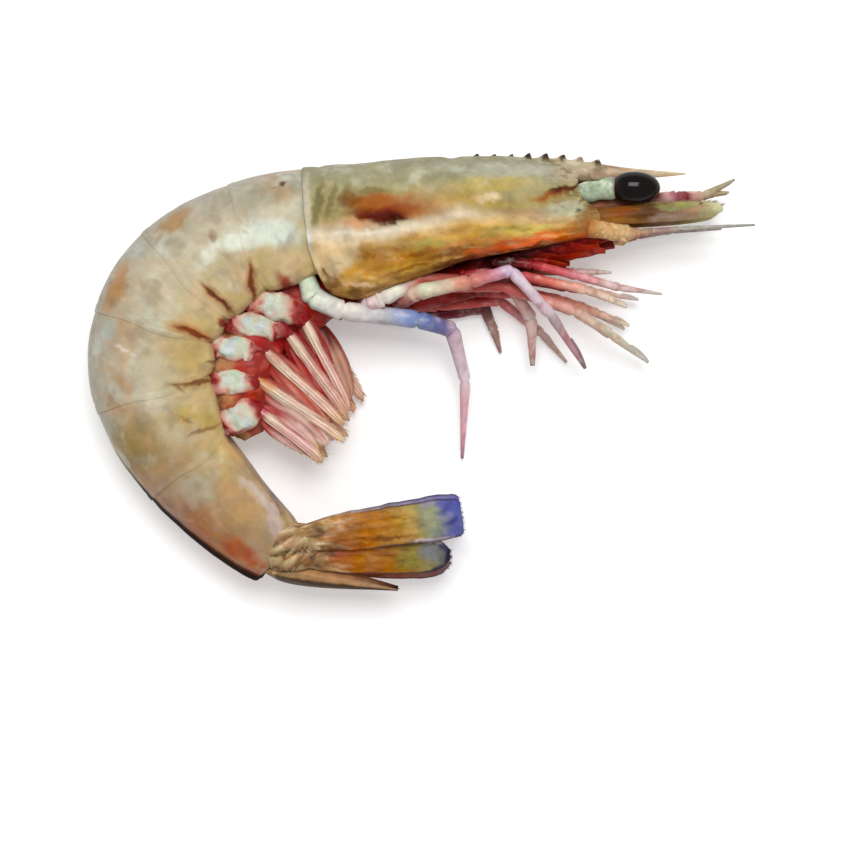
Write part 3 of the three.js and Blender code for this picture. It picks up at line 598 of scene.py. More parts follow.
def carapace():
    angle = around(250)
    unit_rise, unit_side = section(angle)
    end = curve([-1, -0.7, -0.3, -0.1, 0.1, 0.3, 0.6, 0.75, 0.9, 1],
                [43.4, 45.2, 45.6, 44.8, 43.4, 42.8, 42.6, 42.8, 43.2, 44.0])(unit_rise)
    rear = curve([-1, -0.85, -0.6, -0.3, 1], [2.2, 1.4, 0.1, -0.7, -0.7])(unit_rise)
    rear_in = rear + np.array([3.1, 1.7, 0.3, 0.08, 0.0])[:, None]
    forward = rear + np.linspace(0.0, 1.0, 250)[:, None] * (end - rear)
    front_in = end + np.array([0.05, 0.02, -0.2, -2.0, -7.0])[:, None]
    forward = np.vstack([rear_in, forward[1:], front_in])
    scale = np.ones(len(forward))
    scale[:5] = [0.9, 0.94, 0.965, 0.975, 0.99]
    scale[-5:] = [0.985, 0.965, 0.94, 0.9, 0.7]
    scale = scale[:, None]
    along = np.maximum(forward, 0.0)
    rough = even_body(-forward, unit_rise, unit_side)
    guide = on_body(-forward, np.where(unit_rise >= 0, shell_height(along), shell_depth(along)) * unit_rise,
                    shell_half_width(along) * unit_side)
    column, row = pixels(guide)
    below = row - np.interp(column, BAND_X, BAND_Y)
    from_top = np.minimum(angle, 2 * np.pi - angle)
    ridge = 0.55 * bump(from_top, 0.1) * ease(3.0, 22.0, forward)
    gutter = -0.22 * bump(from_top - 0.26, 0.09) * ease(6.0, 20.0, forward)
    gill_cover = 0.28 * ease(-3.0, 8.0, below) * ease(0.5, 4.0, forward) - 0.3 * bump(below, 5.0)
    up = guide[..., 1]
    neck_groove = -0.28 * bump(forward - (29.0 - 0.55 * up), 1.1) * ease(0.0, 4.0, up)
    rear_lip = 0.08 * bump(forward - rear - 0.6, 0.7) - 0.16 * bump(forward - rear - 2.6, 0.6)
    hem = 0.12 * bump(unit_rise + 0.93, 0.05) - 0.10 * bump(unit_rise + 0.82, 0.05)
    lumps = 0.14 * noise(rough, 5.0, 21) + 0.07 * noise(rough, 1.8, 22)
    relief = ridge + gutter + gill_cover + neck_groove + rear_lip + hem + lumps
    rise, side = body_section(unit_rise, unit_side, scale * shell_height(along), scale * shell_depth(along),
                              scale * shell_half_width(along), scale * BELLY_HOLLOW, relief)
    grid = on_body(-forward, rise, side)
    warp = 3.5 * noise(rough, 3.0, 23)
    upper = ramp(np.clip(unit_rise * np.ones_like(forward), 0, 1), HEAD_UPPER_STOPS)
    upper = patch(upper, "#c2a860", 0.3, rough, 4.0, 31)
    upper = patch(upper, "#c6c8b4", 0.4, rough, 2.6, 41)
    upper = patch(upper, "#8f8766", 0.4, rough, 2.0, 61)
    upper = mark(grid, upper, HEAD_UPPER_MARKS)
    depth_share = np.clip((below + warp) / 62.0, 0.0, 1.0)
    lower = ramp(depth_share, HEAD_LOWER_STOPS)
    lower = patch(lower, "#c0a25a", 0.35, rough, 3.4, 71)
    lower = patch(lower, "#84541c", 0.3, stretch(rough, 0.45), 1.7, 51, 0.08, 0.55)
    lower = mark(grid, lower, HEAD_LOWER_MARKS)
    stroke = cloud(stretch(rough, 0.3), 0.9, 81)
    lower = blend(lower, "#6e4414", 0.38 * ease(0.12, 0.5, stroke))
    lower = blend(lower, "#d8b878", 0.45 * ease(-0.12, -0.5, stroke))
    tint = upper + ease(-4.0, 8.0, below + warp)[..., None] * (lower - upper)
    pale = bump(below + 0.6 * warp, 8.0) * (0.85 - 0.8 * ease(440.0, 520.0, column))
    pale = pale * np.clip(0.85 + 0.7 * cloud(stretch(rough, 0.5), 2.4, 91), 0.0, 1.0)
    tint = blend(tint, "#e2d3bb", pale)
    tint = mark(grid, tint, RIM_MARKS)
    tint = mark(grid, tint, LIVER_MARKS, 2.6)
    streak = noise(stretch(rough, 0.25), 0.9, 24) * ease(0.0, 14.0, below)
    tint = shade(tint, 0.1 * noise(rough, 2.0, 25) + 0.08 * noise(rough, 0.6, 26) + 0.32 * streak - 0.05)
    scribble = ease(0.18, 0.45, cloud(stretch(rough, 0.6), 0.9, 101))
    tint = blend(tint, "#4a3a22", 0.5 * scribble * ease(36.0, 42.0, forward) * ease(-0.5, -0.2, unit_rise))
    hem_line = ease(-0.9, -0.99, unit_rise) * ease(8.0, 16.0, forward)
    tint = blend(tint, "#4a1810", 0.85 * hem_line)
    inside = np.zeros(len(forward))
    inside[-4:] = [0.5, 0.9, 1.0, 1.0]
    tint = blend(tint, "#4a1d12", inside[:, None] * ease(0.7, 0.3, unit_rise))
    tint = blend(tint, "#8f7458", inside[:, None] * ease(0.3, 0.7, unit_rise))
    skin = Skin()
    skin.add(grid, tint)
    beak(skin)
    skin.make("carapace", HEAD_SKIN)


def beak(skin):
    top_line = curve(BEAK_AT, BEAK_HEIGHT)
    forward = np.linspace(23.0, BEAK_AT[-1], 330)[:, None]
    share = ((forward - BEAK_AT[0]) / TOOTH_SPACING) % 1.0
    tooth = ease(0.1, 0.86, share) ** 1.4 * (1.0 - ease(0.86, 0.97, share))
    tooth = tooth * ease(24.9, 25.2, forward) * (1.0 - ease(46.9, 47.1, forward))
    tooth_height = (0.95 - 0.012 * (forward - BEAK_AT[0])) * tooth
    top = top_line(forward) + 0.15
    depth = curve([23, 31, 42.5, 46.5, 51, 57, 60.2], [2.4, 2.6, 3.7, 2.9, 1.7, 0.7, 0.08])(forward)
    bottom = top_line(forward) - depth
    thick = curve([23, 31, 39, 43, 46.5, 50, 55, 60.2], [0.5, 0.9, 3.3, 4.3, 2.3, 0.8, 0.35, 0.05])(forward)
    angle = around(40)
    lift = 0.5 + 0.5 * np.cos(angle)
    rise = bottom + (top - bottom) * lift + tooth_height * ease(0.7, 1.0, lift)
    roof = np.abs(np.sin(angle)) ** 0.6 * (1.0 - lift) ** 0.8
    side = np.sign(np.sin(angle)) * thick * roof + 0.35 * np.minimum(1.0, thick) * np.sin(angle)
    grid = on_body(-forward * np.ones_like(angle), rise, side)
    tint = ramp(np.clip((forward - BEAK_AT[0]) / 35.0, 0, 1) * np.ones_like(angle),
                [(0.0, "#a39e86"), (0.4, "#aa9f80"), (0.58, "#b0a084"), (0.72, "#b2977c"),
                 (1.0, "#c9b78e")])
    tint = blend(tint, "#2a1a14", 0.95 * ease(0.25, 0.8, tooth) * ease(0.72, 0.9, lift))
    tint = blend(tint, "#8a5a40", 0.4 * bump(lift - 0.35, 0.2) * ease(40.0, 46.0, forward))
    spots = cloud(stretch(grid, 0.5), 1.1, 27)
    tint = blend(tint, "#5e4630", 0.55 * ease(0.12, 0.5, spots) * ease(30.0, 40.0, forward))
    tint = blend(tint, "#dccdb0", 0.5 * ease(-0.1, -0.5, spots))
    skin.add(grid, tint)


carapace()


# Limbs

def limb_path(root, lengths, headings, heights):
    joints = [np.array(root, float)]
    for length, heading, height in zip(lengths, headings, heights):
        following = joints[-1] + length * direction(heading)
        following[2] = height
        joints.append(following)
    return np.array(joints)


def add_limb(skin, joints, radii, stops, sides=22, knuckle=0.12, lumps=1.0, dark="#9c3f3c"):
    """A jointed limb: straight lengths that swell towards each joint and pinch at it."""
    points = []
    sizes = []
    for k in range(len(joints) - 1):
        end = k == len(joints) - 2
        t = np.linspace(0.0, 1.0, 26, endpoint=end)
        points.append(joints[k] + t[:, None] * (joints[k + 1] - joints[k]))
        size = radii[k] + (radii[k + 1] - radii[k]) * t
        pinch = 1.0 - 0.22 * bump(t, 0.05) * (k > 0) - 0.12 * bump(t - 1, 0.03) * (not end)
        swell = 1.0 + knuckle * (bump(t - 0.9, 0.09) * (not end) + 0.5 * bump(t - 0.14, 0.1))
        sizes.append(size * pinch * swell)
    path = np.vstack(points)
    for _ in range(3):
        path[1:-1] = 0.25 * path[:-2] + 0.5 * path[1:-1] + 0.25 * path[2:]
    radius = np.concatenate(sizes)
    radius[0] *= 0.7
    grid = tube(path, radius, sides)
    middle = path[:, None, :]
    uneven = 1.0 + lumps * (0.06 * noise(grid, 1.1, 33) + 0.05 * noise(grid, 0.45, 34))
    grid = middle + (grid - middle) * uneven[..., None]
    run = np.concatenate([[0.0], np.cumsum(np.linalg.norm(np.diff(path, axis=0), axis=1))])
    share = (run / run[-1])[:, None] * np.ones((1, sides))
    tint = ramp(np.clip(share + 0.02 * noise(grid, 1.5, 31), 0, 1), stops)
    tint = patch(tint, "#e6dcd0", 0.3 * ease(0.08, 0.2, share), grid, 1.2, 35)
    tint = patch(tint, dark, 0.4, grid, 1.5, 45)
    # Painted shade: the side of each limb to the right of its run, its lower edge seen from above where the
    # limb runs forward, is blended towards the dark colour, which also gives its patches.
    under = np.sin(around(sides)) + 0.3 * cloud(grid, 1.0, 65)
    tint = blend(tint, dark, 0.3 * ease(0.35, 1.0, under))
    skin.add(grid, shade(tint, 0.22 * cloud(grid, 0.8, 55)))
    return path


def add_pincer(skin, joints, radii, stops):
    """The movable finger that lies along the end of the last length."""
    aim = joints[-1] - joints[-2]
    aside = radii[-2] * np.array([-aim[1], aim[0], 0.0]) / np.linalg.norm(aim)
    path = [joints[-2] + 0.5 * aim + 0.5 * aside, joints[-1] - 0.275 * aim + 0.75 * aside,
            joints[-1] - 0.02 * aim + 0.35 * aside]
    grid = tube(smooth_path([0, 0.5, 1], path, 24), np.linspace(0.55, 0.12, 24) * radii[-2], 12)
    skin.add(grid, ramp(np.full(grid.shape[:2], 0.97), stops))


# Each has its root, the lengths, headings and end heights of its five lengths, the radii at their ends,
# and its colours from root to tip.
LEGS = [
    ("leg_5_right", [0.2, -11.3, 3.0], [5.2, 12.1, 5.6, 8.3, 12.6], [-25, -6, -16, -75, -92],
     [3.6, 1.8, 0.2, -3.0, -7.4], [1.75, 1.55, 1.4, 1.25, 0.9, 0.25],
     [(0.0, "#c4d2b2"), (0.07, "#d4dcc8"), (0.16, "#e2dcd2"), (0.25, "#d4cec8"), (0.33, "#b2b2b8"),
      (0.38, "#8094c4"), (0.46, "#566aa0"), (0.51, "#6a6290"), (0.57, "#cdb0ba"), (0.68, "#cdb6bf"),
      (0.72, "#d9c3c8"), (0.78, "#dcaab4"), (0.92, "#d59aa6"), (1.0, "#8a7078")]),
    ("leg_4_right", [9.3, -12.5, 3.2], [2.1, 7.1, 13.8, 6.9, 7.5], [28, 26, -1, -57, -88],
     [3.7, 3.3, -0.2, -2.2, -3.6], [1.3, 1.35, 1.0, 0.95, 1.0, 0.4],
     [(0.0, "#a88a94"), (0.06, "#d2b0bc"), (0.12, "#dccfc8"), (0.2, "#dcdccb"), (0.28, "#b2584a"),
      (0.5, "#b8564a"), (0.6, "#b4524a"), (0.7, "#c8948e"), (0.8, "#ccb2aa"), (0.92, "#c4aca2"),
      (1.0, "#8a7468")]),
    ("leg_3_right", [14.2, -11.6, 1.0], [2.6, 8.6, 6.8, 9.4, 10.1], [23, 11, 15, -47, -55],
     [4.2, 5.8, 5.4, 2.8, -3.0], [1.4, 1.3, 1.05, 0.9, 0.85, 0.3],
     [(0.0, "#8a3a34"), (0.08, "#b06a60"), (0.13, "#c8a290"), (0.18, "#cfd4b4"), (0.25, "#d0bfa6"),
      (0.32, "#d08a72"), (0.42, "#c8767c"), (0.48, "#b8a0c0"), (0.55, "#d8c6d2"), (0.7, "#d0bac2"),
      (0.75, "#a8989c"), (0.82, "#b0868c"), (0.92, "#b88c94"), (1.0, "#6e5c60")]),
    ("leg_2_right", [19.3, -10.2, 2.2], [2.4, 8.8, 12.2, 7.0, 7.5], [15, 0, -18, -32, -35],
     [2.2, 2.1, 0.4, -1.8, -4.5], [0.85, 0.85, 0.85, 0.88, 0.75, 0.28],
     [(0.0, "#8a2a22"), (0.1, "#b04038"), (0.18, "#b84840"), (0.3, "#b04a44"), (0.42, "#c0605a"),
      (0.54, "#d08a7e"), (0.64, "#d0a898"), (0.72, "#c8b49c"), (0.85, "#bfb49c"), (1.0, "#b0b0a8")]),
    # The very dark roots of leg_1_right and maxilliped_right, under the front of the shell, are partly their
    # own dark red and partly painted shade.
    ("leg_1_right", [24.2, -7.9, 2.5], [2.3, 6.6, 11.1, 3.7, 3.2], [13, -3, -12, -20, -26],
     [2.4, 2.2, 1.4, 0.8, 0.2], [0.75, 0.75, 0.75, 0.75, 0.65, 0.25],
     [(0.0, "#4e0e10"), (0.1, "#8a161a"), (0.22, "#b42c3c"), (0.42, "#c04a4c"), (0.55, "#cc6a5a"),
      (0.68, "#dd9a84"), (0.8, "#d8b8a0"), (1.0, "#c9c0b0")]),
    ("maxilliped_right", [29.4, -5.8, 2.5], [2.2, 3.4, 7.5, 7.1, 6.8], [5, -7, -14, -15, -8],
     [2.5, 2.4, 2.0, 1.2, 0.4], [0.7, 0.7, 0.7, 0.7, 0.6, 0.2],
     [(0.0, "#200606"), (0.18, "#46090e"), (0.28, "#8a1a20"), (0.38, "#c84048"), (0.55, "#d4848a"),
      (0.7, "#d8b8b4"), (1.0, "#b8b0a8")]),
    ("leg_5_left", [1.2, -11.8, -3.2], [3.7, 11.4, 11.7, 4.1, 3.8], [-22, -4, 8, -67, -73],
     [-6.0, -6.5, -6.4, -6.9, -7.4], [1.2, 1.4, 1.5, 0.95, 0.75, 0.25],
     [(0.0, "#8a2a28"), (0.3, "#8a1626"), (0.5, "#4a0c2a"), (0.66, "#5e1024"), (0.8, "#5e3430"),
      (0.9, "#9a7a70"), (1.0, "#8a6a64")]),
    ("leg_4_left", [9.0, -13.0, -1.8], [2.5, 8.6, 10.2, 8.7, 6.1], [14, 1, 5, -38, -49],
     [-3.0, -4.0, -5.6, -6.4, -7.2], [1.0, 1.0, 0.9, 0.8, 0.7, 0.25],
     [(0.0, "#a8483c"), (0.3, "#b4443a"), (0.55, "#c04a48"), (0.68, "#c87e80"), (0.8, "#c4a4a2"),
      (1.0, "#a89488")]),
    ("leg_3_left", [14.2, -10.7, -2.4], [2.5, 8.4, 11.0, 8.3, 7.2], [12, 1, -2, -15, -28],
     [-3.6, -4.4, -4.4, -5.0, -6.4], [0.9, 0.9, 0.85, 0.8, 0.7, 0.25],
     [(0.0, "#9a1c1a"), (0.3, "#a82420"), (0.55, "#b84840"), (0.75, "#d4a090"), (1.0, "#c8bcae")]),
    ("leg_2_left", [19.3, -10.1, -2.2], [2.4, 8.4, 10.2, 6.4, 5.4], [17, 1, -12, -19, -22],
     [-2.2, -2.3, -2.8, -3.6, -4.6], [0.75, 0.75, 0.75, 0.7, 0.6, 0.25],
     [(0.0, "#9a1818"), (0.3, "#a82422"), (0.55, "#bc4a40"), (0.75, "#d89a80"), (1.0, "#cfc0ae")]),
    ("leg_1_left", [24.2, -7.9, -4.3], [2.5, 6.4, 8.1, 6.1, 5.7], [12, -5, -10, -8, -10],
     [-4.4, -4.5, -4.7, -5.2, -5.8], [0.75, 0.75, 0.7, 0.65, 0.55, 0.2],
     [(0.0, "#a81a1c"), (0.3, "#b02a26"), (0.6, "#c05248"), (0.8, "#d8a89c"), (1.0, "#c0b8b0")]),
    ("maxilliped_left", [29.4, -5.8, -2.4], [2.1, 4.6, 6.3, 3.1, 2.6], [-14, -6, -1, 0, -2],
     [-2.4, -2.4, -2.4, -2.5, -2.6], [0.7, 0.7, 0.65, 0.6, 0.5, 0.2],
     [(0.0, "#7a1210"), (0.4, "#b03a34"), (0.7, "#d0a8a0"), (1.0, "#c8c0b8")]),
]
for name, root, lengths, headings, heights, radii, stops in LEGS:
    skin = Skin()
    joints = limb_path(root, lengths, headings, heights)
    if name == "leg_5_right":
        joints = np.vstack([[-0.9, -8.0, 3.4], joints])
        radii = [0.8 * radii[0]] + radii
        # Leg 5 takes grey-blue as its dark colour, both for its patches and for its painted shade.
        add_limb(skin, joints, radii, stops, 28, 0.07, 0.4, "#8f8a98")
    else:
        joints = np.vstack([joints[0] * np.array([1.0, 1.0, 0.1]) + np.array([-0.8, 1.4, 0.0]), joints])
        radii = [1.1 * radii[0]] + radii
        add_limb(skin, joints, radii, stops)
    if name[:5] in ("leg_1", "leg_2", "leg_3"):
        add_pincer(skin, joints, radii, stops)
    pale = name[:5] in ("leg_3", "leg_4", "leg_5")
    skin.make(name, LEG_SKIN if pale else PINK_LEG_SKIN)


# Swimming legs

# Each has its block's middle, turn and length, its long blade's heading and length, how far the wide blade
# under it turns aside, and the colours of the long blade and of the wide one, from root to tip.
PADDLES = [
    ([-4.55, -13.3], -22, 8.6, -65, 16.4, -7,
     ("#e0c0a8", "#e2ae9c", "#dca88c"), ("#8a2a20", "#a83c2c", "#c08468")),
    ([-7.75, -16.2], -9, 9.6, -55, 16.4, -7,
     ("#d8b49c", "#d49a86", "#d6986e"), ("#8e1412", "#aa2014", "#c8705a")),
    ([-10.9, -19.5], -3, 8.4, -45, 17.4, -7,
     ("#d4ac90", "#e2b49a", "#dcae72"), ("#a8382a", "#c4604a", "#d8a086")),
    ([-11.6, -24.6], 5, 7.2, -37, 17.0, -7,
     ("#d88a50", "#e5c0a4", "#e2c088"), ("#c05a4e", "#d8aea2", "#dcbcae")),
    ([-10.6, -29.9], 25, 5.6, -42, 13.4, 2,
     ("#c8545c", "#dfa8a0", "#dab46c"), ("#b84a44", "#dcb4aa", "#dcb878")),
]
# The left ones lie a little further forward, and the first of them has its own row.
LEFT_SWING = 4
LEFT_FIRST = ([-3.6, -13.7], -22, 10.6, -64, 14.6, -7,
              ("#7e3a2a", "#d0aa8c", "#c09474"), ("#6e2014", "#bc8e74", "#b08a70"))
# Half the height of each block, and the length and middle of its white patch.
BLOCK_HALF_HEIGHT = [2.3, 1.9, 2.1, 2.2, 2.4]
BLOCK_WHITE = [6.0, 5.8, 5.4, 4.8, 4.2]
BLOCK_WHITE_MIDDLE = [-1.35, -1.05, -1.1, -0.8, -0.45]
# Sizes of the blades, at these shares of their length.
PADDLE_SHARES = [0, 0.12, 0.4, 0.75, 0.93, 1]
LONG_HALF_WIDTHS = [0.7, 0.95, 0.92, 0.95, 0.7, 0.15]
LONG_HALF_THICKNESSES = [0.6, 0.55, 0.45, 0.3, 0.2, 0.08]
WIDE_HALF_WIDTHS = [0.9, 1.7, 2.3, 1.9, 1.1, 0.2]
WIDE_HALF_THICKNESSES = [0.5, 0.5, 0.4, 0.3, 0.2, 0.08]


def paddle(skin, length, half_widths, half_thicknesses, colours, pale_root, gleam, pose, seed):
    grid, share, across, face = blade_grid(length, PADDLE_SHARES, half_widths, half_thicknesses, 80, 36)
    rng = np.random.default_rng(seed)
    bow, ripple = rng.uniform(0.2, 0.9, 2)
    ruffle = noise(np.stack([share * length, 2.0 * across, 0 * share + 3.0 * seed], -1), 2.2, 42)
    rib = bump(across - 0.15, 0.22) * (1.0 - ease(0.6, 0.95, share))
    grid[..., 1] += bow * np.sin(2.6 * share) * share + 0.22 * ruffle * ease(0.1, 0.4, share)
    grain = np.sin(11.0 * across + 2.0 * ruffle + seed) * ease(0.08, 0.25, share)
    grid[..., 2] += np.sign(face) * (0.16 * rib + 0.09 * grain) + 0.3 * ruffle * ease(0.2, 0.6, share)
    stops = [(0.0, colours[0]), (0.1, colours[0]), (0.2, pale_root), (0.42, colours[1]), (0.78, colours[1]),
             (1.0, colours[2])]
    tint = ramp(np.clip(share + 0.06 * ruffle, 0, 1), stops)
    strand = np.stack([share * length * 0.3, across * 4.0, 0 * share + 5.0 * seed], -1)
    tint = blend(tint, "#f2e4da", gleam * rib)
    tint = blend(tint, "#f6ece2", gleam * ease(0.3, 0.95, grain))
    tint = blend(tint, "#96221f", 0.5 * ease(-0.3, -0.95, grain) * (1.0 - 0.5 * share))
    tint = patch(tint, "#f0d8cc", gleam, strand, 0.9, 43)
    tint = patch(tint, "#a83a34", 0.45, strand, 1.1, 53)
    margin = ease(0.6, 0.97, np.abs(across)) * (1.0 - 0.6 * share) * (0.6 + 0.5 * ripple)
    tint = blend(tint, "#84191a", np.clip(0.8 * margin, 0, 1))
    skin.add(place(grid, *pose), tint)
    count = 44
    along = np.sort(rng.uniform(0.5, 0.99, count))
    half = curve(PADDLE_SHARES, half_widths)(along) * rng.choice([-1, 1], count)
    roots = np.stack([along * length, half * 0.9 + bow * np.sin(2.6 * along) * along, 0 * along], -1)
    lengths = rng.uniform(0.5, 1.0, count)
    bristles(skin, roots, 0.35 * np.sign(half), pose, lengths, BRISTLE_RADIUS, colours[2])


def swimming_leg(index, side, sign):
    row = LEFT_FIRST if sign < 0 and index == 0 else PADDLES[index]
    block, turn, block_length, heading, length, spread, long_colours, wide_colours = row
    heading = heading if sign > 0 else heading + LEFT_SWING
    skin = Skin()
    start = -0.5 - 2.0 / block_length
    shares = np.linspace(start, 0.52, 46)[:, None]
    marks = [start, start + 0.12, -0.42, -0.12, 0.2, 0.42, 0.52]
    high = BLOCK_HALF_HEIGHT[index] * curve(marks, [0.4, 0.8, 0.95, 1.0, 0.84, 0.5, 0.25])(shares)
    thick = curve(marks, [0.4, 0.9, 1.4, 1.75, 1.6, 1.0, 0.4])(shares)
    c, s = (np.sign(wave) * np.abs(wave) ** 0.75 for wave in (np.cos(around(56)), np.sin(around(56))))
    local = np.stack([shares * block_length * np.ones_like(c), high * s, thick * c], -1)
    spot = local + 9.0 * index
    dents = np.stack([noise(spot, 2.0, 51), noise(spot, 2.0, 52), 0.5 * noise(spot, 1.2, 53)], -1)
    local = local + 0.6 * dents + 0.14 * wavy(spot, 0.6, 57)
    middle = np.array([block[0], block[1], 3.6 * sign])
    grid = place(local, *middle, turn, 0, 0)
    white = (shares * block_length - BLOCK_WHITE_MIDDLE[index]) / BLOCK_WHITE[index]
    inner = np.where(white < 0, white / 0.56, white / 0.5)
    edge = np.maximum(np.abs(inner), 0.94 * np.abs(s))
    edge = edge + 0.45 * cloud(spot, 2.2, 54) + 0.2 * cloud(spot, 0.7, 55)
    stops = [(0.0, "#bcc6b8"), (0.55, "#c2c4ae"), (0.76, "#cdb29c"), (0.94, "#c08272"), (1.12, "#a03c32"),
             (1.3, "#7a1c18")]
    tint = ramp(np.clip(edge, 0, 1.3), stops)
    inside = 1.0 - ease(0.6, 0.85, edge)
    tint = patch(tint, "#9dbd9a", 0.55 * inside, spot, 1.2, 64, 0.05, 0.5)
    tint = patch(tint, "#b4c2da", 0.5 * inside, spot, 1.0, 74, 0.1, 0.5)
    tint = patch(tint, "#e2e2da", 0.45 * inside, spot, 0.8, 84, 0.05, 0.5)
    tint = patch(tint, "#c8a08a", 0.4 * inside, spot, 1.3, 94, 0.1, 0.5)
    tint = patch(tint, "#d9aaa0", 0.5 * (1.0 - inside), spot, 1.1, 56, -0.1, 0.5)
    far_end = ease(0.2, 0.4, shares + 0.12 * cloud(spot, 1.0, 66))
    tint = blend(tint, "#8a1a1e", 0.85 * far_end)
    skin.add(grid, tint)
    end = middle + 0.42 * block_length * direction(turn)
    seed = 10 * index + (5 if sign < 0 else 0)
    paddle(skin, length, LONG_HALF_WIDTHS, LONG_HALF_THICKNESSES, long_colours, "#dccaa6", 0.45,
           (*end, heading, 7 if sign > 0 else 9, 20 * sign), seed + 1)
    end[2] -= sign
    paddle(skin, 0.9 * length, WIDE_HALF_WIDTHS, WIDE_HALF_THICKNESSES, wide_colours, wide_colours[0], 0.12,
           (*end, heading + spread, 5 if sign > 0 else 4, 8 * sign), seed + 3)
    skin.make(f"pleopod_{index + 1}_{side}", PADDLE_SKIN)


for side, sign in SIDES:
    for index in range(len(PADDLES)):
        swimming_leg(index, side, sign)


# The red membrane along the underside, between the roots of the legs

# Each place has its x and y, and the half width there.
MEMBRANE_PATH = [(46.5, -0.8, 0.8), (40.0, -2.6, 2.0), (34.0, -5.0, 2.8), (28.0, -7.0, 3.0),
                 (22.0, -8.8, 3.1), (16.0, -10.6, 2.7), (9.0, -11.6, 2.3), (3.2, -11.0, 3.4),
                 (-0.2, -11.6, 4.5), (-3.8, -13.4, 4.0), (-6.8, -16.0, 4.6), (-10.0, -19.4, 5.4),
                 (-11.6, -24.4, 5.3), (-10.8, -29.6, 4.4), (-9.4, -33.4, 1.4)]
# The near-black reds at shares 0.14 and 0.2, under the front of the shell, are partly the membrane's own dark
# red and partly painted shade.
MEMBRANE_STOPS = [(0.0, "#7a3420"), (0.07, "#94281a"), (0.14, "#4a0e0a"), (0.2, "#380a0a"),
                  (0.27, "#7a1812"), (0.35, "#a8342a"), (0.45, "#8a2c1e"), (0.56, "#96190f"),
                  (0.66, "#a42a22"), (0.75, "#9a2624"), (0.9, "#98341f"), (1.0, "#a04a30")]


def membrane():
    share = np.linspace(0, 1, 300)
    x, y, radius = smooth_path(np.linspace(0, 1, len(MEMBRANE_PATH)), MEMBRANE_PATH, 300).T
    tail_part = ease(0.55, 0.66, share)
    path = np.stack([x, y, -1.0 + 0.9 * tail_part], -1)
    grid = tube(path, radius, 48)
    tall = 0.72 + 0.2 * tail_part[:, None]
    grid[..., 2] = path[:, 2:3] + tall * (grid[..., 2] - path[:, 2:3])
    grid = grid + 0.35 * wavy(grid, 1.4, 61)
    tint = ramp(share[:, None] * np.ones((1, 48)), MEMBRANE_STOPS)
    tint = patch(tint, "#d4584e", 0.6, grid, 1.8, 64, 0.05, 0.55)
    tint = patch(tint, "#3a0c0c", 0.6, grid, 1.5, 74, 0.05, 0.55)
    towards_back = np.sin(around(48)) + 0.6 * cloud(grid, 2.0, 84)
    belly = ease(0.1, 0.6, towards_back) * ease(0.62, 0.7, share)[:, None]
    tint = blend(tint, "#b98e62", 0.85 * belly)
    tint = patch(tint, "#8a2a1e", 0.55 * belly, grid, 1.3, 94, 0.1, 0.5)
    skin = Skin()
    skin.add(grid, tint)
    skin.make("membrane", MEMBRANE_SKIN, False)


membrane()


# Tail fan

FAN_MARKS = [
    ("#9a5a2c", 322, 540, 22, 12, 10, 0.5), ("#d2b48e", 325, 528, 28, 3, 20, 0.7),
    ("#cbaa80", 322, 537, 18, 2.5, 12, 0.6), ("#a8681c", 372, 526, 36, 9, 12, 0.5),
    ("#b08c44", 408, 519, 16, 14, 10, 0.6), ("#8f9674", 432, 519, 12, 13, 0, 0.75),
    ("#8e7ea6", 428, 502, 9, 6, 0, 0.6), ("#454c9c", 453, 502, 15, 11, 0, 0.9),
    ("#565a98", 459, 521, 8, 13, 0, 0.85), ("#3c448c", 443, 512, 6, 4, 30, 0.7),
    ("#84867c", 441, 530, 9, 5, 0, 0.6), ("#cdb6c2", 436, 540, 28, 2.4, 4, 0.75),
    ("#6a3410", 385, 539, 34, 2.4, 4, 0.7), ("#9c4a16", 345, 552, 26, 6, 8, 0.6),
    ("#b0701e", 375, 558, 26, 8, 3, 0.5), ("#8f8840", 408, 560, 13, 11, 0, 0.75),
    ("#6f7478", 430, 553, 11, 9, 0, 0.75), ("#231d38", 449, 553, 4, 14, 0, 0.95),
    ("#231d38", 436, 570, 16, 3.5, 20, 0.9), ("#c7a07a", 328, 566, 24, 3, -4, 0.6),
    ("#4a3cae", 455, 498, 12, 4, 4, 0.7), ("#39327c", 452, 521, 6, 4, 30, 0.7),
    ("#9aa27a", 431, 511, 9, 4, 10, 0.6), ("#c8543c", 335, 556, 14, 4, 10, 0.5),
    ("#80829a", 444, 516, 8, 5, 20, 0.5),
]


